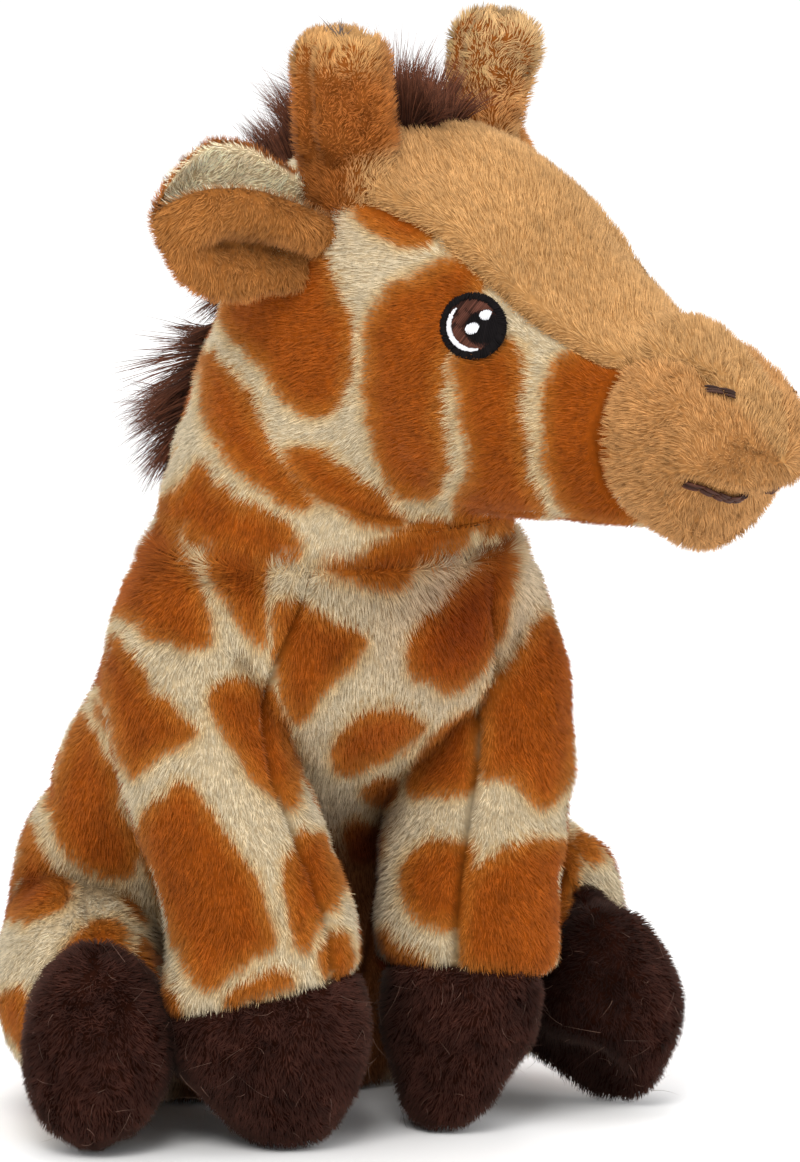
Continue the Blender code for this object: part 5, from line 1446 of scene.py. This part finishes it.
# painted shade at the roots and painted light at the tips of the mane's hair
for k, sl in enumerate((slice(0, half), slice(half, n))):
    mane.append(strands(f"mane_hair_{k + 1}", q["P"][sl], q["N"][sl], (dirs * L[:, None])[sl],
                        (0.19 * (0.7 + 0.6 * RNG.random(n)))[sl], tone[sl] * 0.5, (tone * 1.75)[sl], HAIR, RNG,
                        levels=4, droop=droop[sl], soft=0.35))
tops["head"] += mane

# eyes, nostrils and mouth
for s in (1, -1):
    stitches, ground, _ = eye(f"eye_stitches_{SIDE[s]}", surface, s, RNG)
    tops["head"] += [stitches, ground]
nostrils = {}
for s in (1, -1):
    k = np.linspace(0, 0.75 if s > 0 else 1, 14)
    pts, nn = surface.at(NOSTRIL[0][0] + (NOSTRIL[1][0] - NOSTRIL[0][0]) * k - (0.9 if s > 0 else 0.0),
                         s * (NOSTRIL[0][1] + (NOSTRIL[1][1] - NOSTRIL[0][1]) * k + (26.0 if s > 0 else 0.0)))
    nostrils[s] = line_of_stitches(f"nostril_stitches_{SIDE[s]}", pts, nn, RNG, 1.25, 0.5, 2.6, (0.050, 0.022, 0.015),
                                   rows=3, lift=0.95 if s < 0 else 0.6)
    tops["head"].append(nostrils[s])


# the mouth follows its fold round the front of the muzzle
face = head.tree()
path, path_n, path_l = [], [], []
for l in np.linspace(-14.4, 14.4, 60):
    z = float(mouth_height(l)) - 0.1
    hit, nrm, _, _ = face.ray_cast(Vector(head_point((130.0, l, z))), Vector(head_dir(-1, 0, 0)))
    if hit is not None:
        path.append(np.array(hit))
        path_n.append(np.array(nrm))
        path_l.append(l)
pts, nn = np.array(path), np.array(path_n)
for _ in range(4):
    pts[1:-1] = (pts[:-2] + 2 * pts[1:-1] + pts[2:]) / 4
    nn[1:-1] = (nn[:-2] + 2 * nn[1:-1] + nn[2:]) / 4
across = np.array(path_l)
mouth = line_of_stitches("mouth_stitches", pts, unit(nn), RNG, 1.3, 0.5, 3.0, (0.055, 0.019, 0.011), rows=4,
                         lift=0.65 - 1.4 * step(across, -2.4, -1.0) * (1 - step(across, 2.4, 4.0)))
tops["head"].append(mouth)

# horns
for s in (1, -1):
    form = horn[s]
    key = f"horn_{SIDE[s]}"
    low = 1 - step(form.f["along"], 0, 14)
    C = HORN * (1 - 0.25 * low[..., None]) * np.ones_like(form.P)
    # painted shade: the skin under the pile is darkened, most in the grooves of the seams
    C = C * (0.32 + 0.18 * step(form.f["seam"], 0.2, 1.2))[..., None] * WARM
    pads[key] = skin_mesh(f"{key}_skin", form, C)
    q = scatter(form, np.where(form.f["out"] < -1.0, 0, 10.0), RNG)
    q = keep(q, (q["out"] > -0.6) & (q["seam"] > 0.18))
    low = 1 - step(q["along"], 0, 11)
    # the pile pales towards the top; on the far horn the pale reaches lower and the colour is lighter and paler all
    # over, painted light of the lamps shining through it from behind
    pale = step(q["along"] + 2.5 * noise(q["P"], 5.0, 184) + (8.0 if s > 0 else 0.0), 11, 23)[:, None]
    c = (HORN * 1.18 if s < 0 else HORN * np.array([1.3, 1.55, 2.0])) * (1 - pale) + HORN_TOP * pale
    c = c * (1.0 if s < 0 else np.array([1.24, 1.42, 1.75]))
    # the forehead panel's pile climbs over the front of the root
    front_side = step(np.cos(np.radians(q["turn"])), 0.3, 0.9) * (1 - step(q["along"], 1.0, 5.0))
    c = c * (1 - front_side[:, None]) + TAN * front_side[:, None]
    c = c * (1 - 0.30 * low * (1 - front_side) + 0.14 * noise(q["P"], 5.0, 181) + 0.10 * noise(q["P"], 2.0, 182))[:, None]
    c = c * crevice_shade(q["near"], 0.35, 2.4)
    tops[key] = pile(f"{key}_pile", q, c, DOWN * -1.0 + 0.9 * wander(q["P"], 4.0, 183), 2.0, RNG, width=0.22, lean=0.66,
                     tuft=1.1, tuft_size=1.6, shade=0.44, light=1.24)

# ears
for s in (1, -1):
    form = ear[s]
    key = f"ear_{SIDE[s]}"
    lin = form.f["lining"][..., None]
    lin = lin * (form.f["along"] < 0.93)[..., None]
    C = TAN_EAR * (1 - lin) + LINING * lin
    # painted shade: the skin under the pile is darkened
    pads[key] = skin_mesh(f"{key}_skin", form, C * WARM * 0.5)
    q = scatter(form, np.full(form.P.shape[:2], 10.0), RNG)
    q = keep(q, (q["out"] > -0.5) & (q["along"] > -0.2))
    lined = (q["lining"] > 0.5) & (q["along"] + 0.03 * RNG.normal(size=len(q["P"])) < 0.93)
    rim = np.minimum(q["u"], 1 - q["u"])
    a = keep(q, ~lined)
    c = TAN_EAR * (1 + 0.2 * noise(a["P"], 5.0, 191) + 0.10 * noise(a["P"], 2.0, 192))[:, None]
    deep = (step(a["u"], 0.30, 0.55))[:, None]           # painted shade: the underside is darker and redder than the lit front rim
    c = c * (1 - deep) + c * np.array([0.92, 0.72, 0.55]) * deep
    # painted shade in the fold under the front rim
    c = c * (1 - 0.35 * a["fold"].clip(0, 1))[:, None]
    round_ = np.stack([a["wx"], a["wy"], a["wz"]], axis=1)
    tops[key] = pile(f"{key}_pile", a, c, round_ + 0.35 * form.axis, 1.9, RNG, width=0.21, lean=0.85, tuft=0.85,
                     tuft_size=1.5, shade=0.46, light=1.18)
    a = keep(q, lined)
    c = LINING * (1 + 0.06 * noise(a["P"], 5.0, 193))[:, None]
    tops[key] += pile(f"{key}_lining_pile", a, c, form.axis, 2.3, RNG, width=0.20, lean=0.75, tuft=0.35, tuft_size=2.2,
                      shade=0.95, light=1.06, streaks=0.06)

# tail
# painted shade: the skin under the pile is darkened
pads["tail"] = skin_mesh("tail_skin", sleeve, coat(sleeve.P.reshape(-1, 3), sleeve.N.reshape(-1, 3)) * 0.5)
q = scatter(sleeve, np.where(sleeve.f["out"] < -0.8, 0, 5.0), RNG)
q = keep(q, q["out"] > -0.5)
tops["tail"] = pile("tail_pile", q, coat(q["P"], q["N"]), tail_aim, 1.9, RNG, width=0.26, lean=1.0, tuft=0.4)
# painted shade: the core under the tuft's hair is darkened
core = skin_mesh("tail_tuft_core", tuft, np.broadcast_to(MANE * 0.6, tuft.P.shape))
q = scatter(tuft, np.full(tuft.P.shape[:2], 16.0), RNG)
n = len(q["P"])
dirs = unit(tail_aim * 1.3 + q["N"] * 0.5 + wander(q["P"], 2.0, 201) * 0.35 + RNG.normal(size=(n, 3)) * 0.12)
L = 8.0 * (0.6 + 0.5 * RNG.random(n))
L = np.minimum(L, np.maximum((q["P"][:, 2] - 0.6) / np.maximum(-dirs[:, 2], 0.05), 1.0))
tone = MANE * (1 + 0.35 * RNG.normal(size=n)).clip(0.4, 2)[:, None]
# painted shade at the roots and painted light at the tips of the tuft's hair
tuft_hair = strands("tail_tuft_hair", q["P"], q["N"], dirs * L[:, None], 0.22 * (0.7 + 0.6 * RNG.random(n)), tone * 0.6,
                    tone * 1.8, HAIR, RNG, levels=3, soft=0.35)
tops["tail"] += [core, tuft_hair]

# stray long fibres on the feet
for s in (1, -1):
    for kind, forms in (("front", front), ("hind", hind)):
        form = forms[s]
        q = scatter(form, np.where((form.f["foot"] > 1.5) & (form.P[..., 2] > 2.5), 0.045 / max(DENSE, 0.3), 0.0), RNG)
        n = len(q["P"])
        way = unit(tangent(DOWN, q["N"]) * 0.4 + RNG.normal(size=(n, 3)) * 0.9)
        way = unit(way - q["N"] * (way * q["N"]).sum(axis=1, keepdims=True) + q["N"] * 0.18)
        L = 2.0 + 3.6 * RNG.random(n) ** 1.5
        bend = (RNG.normal(size=(n, 3)) * 0.42 - q["N"] * 0.10) * L[:, None]
        lift = q["P"] + q["N"] * 1.5
        tone = np.array([0.13, 0.075, 0.055]) * (0.4 + 1.0 * RNG.random(n))[:, None]
        key = f"{kind}_leg_{SIDE[s]}"
        # painted light at the tips of the fibres
        tops[key].append(strands(f"{key}_stray_fibres", lift, q["N"], way * L[:, None], np.full(n, 0.07), tone, tone * 1.3,
                                 HAIR, RNG, levels=5, droop=bend, soft=0.3))

# thread end left on top of the right horn
base = horn[-1].P[-1].mean(axis=0)
up_axis = unit(head_dir(HORN_LEAN[0], -HORN_LEAN[1], HORN_LEAN[2]))
k = 26
tips = up_axis * 2.2 + RNG.normal(size=(k, 3)) * 0.9
knot = strands("horn_right_thread_end", base + RNG.normal(size=(k, 3)) * 0.35, np.broadcast_to(up_axis, (k, 3)), tips,
               np.full(k, 0.30), np.full((k, 3), 0.10), np.full((k, 3), 0.16) * np.array([1.2, 0.9, 0.8]), HAIR, RNG,
               levels=4, droop=RNG.normal(size=(k, 3)) * 0.8, soft=0.3)
tops["horn_right"].append(knot)

# closing stitches between body and neck, mostly hidden in the pile
A, B, NN, T = [], [], [], []
for j in range(60):
    a0 = 2 * math.pi * (j + 0.3 * RNG.random()) / 60
    out = np.array([math.sin(a0), -math.cos(a0), 0.0])
    A.append(np.array([NECK[0], NECK[1], 0]) + out * 26.9 + np.array([0, 0, 93.5]))
    a1 = a0 + 0.05
    out1 = np.array([math.sin(a1), -math.cos(a1), 0.0])
    B.append(np.array([NECK[0], NECK[1], 0]) + out1 * 27.0 + np.array([0, 0, 91.9]))
    NN.append(out)
    T.append(np.array([0.30, 0.11, 0.03]) * (1 + 0.15 * RNG.normal()))
neck_stitches = threads("neck_closing_stitches", A, B, NN, 0.32, 0.15, T)

# ------------------------------------------------- what moves with which body
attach(pads["torso"], "torso")
for ob in tops["torso"]:
    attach(ob, "torso")
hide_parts("body_side_left", "body_side_right", "belly_gusset", "seat_base_panel",
            "pellet_pouch", "body_stuffing")


def world(p):
    return tuple((np.array(p, float) - SEAT_MID) * 0.001)


for s in (1, -1):
    side = SIDE[s]
    key = f"front_leg_{side}"
    for ob in [pads[key]] + tops[key]:
        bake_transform(ob)
    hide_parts(*[f"{key}_{x}" for x in ("outer_panel", "inner_panel", "foot_cover", "stuffing")])
    key = f"hind_leg_{side}"
    for ob in [pads[key]] + tops[key]:
        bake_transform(ob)
    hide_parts(*[f"{key}_{x}" for x in ("outer_panel", "inner_panel", "foot_cover", "stuffing")])
    key = f"horn_{side}"
    for ob in [pads[key]] + tops[key]:
        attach(ob, key)
    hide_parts(f"horn_cover_{side}", f"horn_filling_{side}")
    key = f"ear_{side}"
    for ob in [pads[key]] + tops[key]:
        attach(ob, key)
    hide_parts(f"ear_outer_{side}", f"ear_lining_{side}")
for ob in [pads["head"]] + tops["head"]:
    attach(ob, "head")
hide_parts("head_side_panel_left", "head_side_panel_right", "forehead_gusset", "chin_gusset",
            "muzzle_cover", "head_stuffing")
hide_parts("mane_strip")
for s in (1, -1):
    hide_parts(f"eye_embroidery_{SIDE[s]}")
    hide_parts(f"nostril_embroidery_{SIDE[s]}")
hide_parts("mouth_embroidery")
for ob in [pads["tail"]] + tops["tail"]:
    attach(ob, "tail")
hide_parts("tail_sleeve")
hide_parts("tail_tuft")
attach(neck_stitches, "neck")
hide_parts("neck_closing_seam")

# ------------------------------------------------------- floor, light, camera
def flat_material(name, colour, rough):
    mat = bpy.data.materials.new(name)
    mat.use_nodes = True
    b = mat.node_tree.nodes["Principled BSDF"]
    b.inputs["Base Color"].default_value = (*colour, 1)
    b.inputs["Roughness"].default_value = rough
    b.inputs["Specular IOR Level"].default_value = 0.1
    return mat


floor_mesh = bpy.data.meshes.new("floor")
floor_mesh.from_pydata([(-3, -3, 0), (3, -3, 0), (3, 3, 0), (-3, 3, 0)], [], [(0, 1, 2, 3)])
floor_mesh.materials.append(flat_material("pale_floor", (0.93, 0.93, 0.93), 0.8))
floor = bpy.data.objects.new("floor", floor_mesh)
bpy.context.scene.collection.objects.link(floor)

w = bpy.data.worlds.new("studio")
w.use_nodes = True
w.node_tree.nodes["Background"].inputs["Color"].default_value = (1.0, 1.0, 1.0, 1)
w.node_tree.nodes["Background"].inputs["Strength"].default_value = 1.0
bpy.context.scene.world = w


def area(name, at, look, size, power, colour=(1, 1, 1)):
    li = bpy.data.lights.new(name, "AREA")
    li.size = size
    li.energy = power
    li.color = colour
    ob = bpy.data.objects.new(name, li)
    bpy.context.scene.collection.objects.link(ob)
    ob.location = at
    ob.rotation_mode = "QUATERNION"
    ob.rotation_quaternion = (Vector(look) - Vector(at)).to_track_quat("-Z", "Y")
    return ob


area("key_light", (-0.55, -0.75, 0.95), (0, 0, 0.08), 0.55, 9.0, (1.0, 0.985, 0.96))
area("fill_light", (0.85, -0.60, 0.35), (0, 0, 0.08), 0.6, 3.2)
area("top_light", (0.15, 0.35, 1.10), (0, 0, 0.08), 0.7, 4.5)

cam_data = bpy.data.cameras.new("front_right_view")
cam = bpy.data.objects.new("front_right_view", cam_data)
bpy.context.scene.collection.objects.link(cam)
AWAY = 3.0
cam_data.lens = 36.0 * AWAY / 0.1836
target = (0.02157 * VIEW_RIGHT + 0.0801 * VIEW_UP)
cam.location = tuple(target + VIEW * AWAY)
cam.rotation_mode = "QUATERNION"
cam.rotation_quaternion = (-Vector(VIEW)).to_track_quat("-Z", "Y")
cam_data.clip_start, cam_data.clip_end = 0.05, 20.0
bpy.context.scene.camera = cam
bpy.context.scene.view_settings.view_transform = "Standard"
bpy.context.scene.view_settings.look = "None"
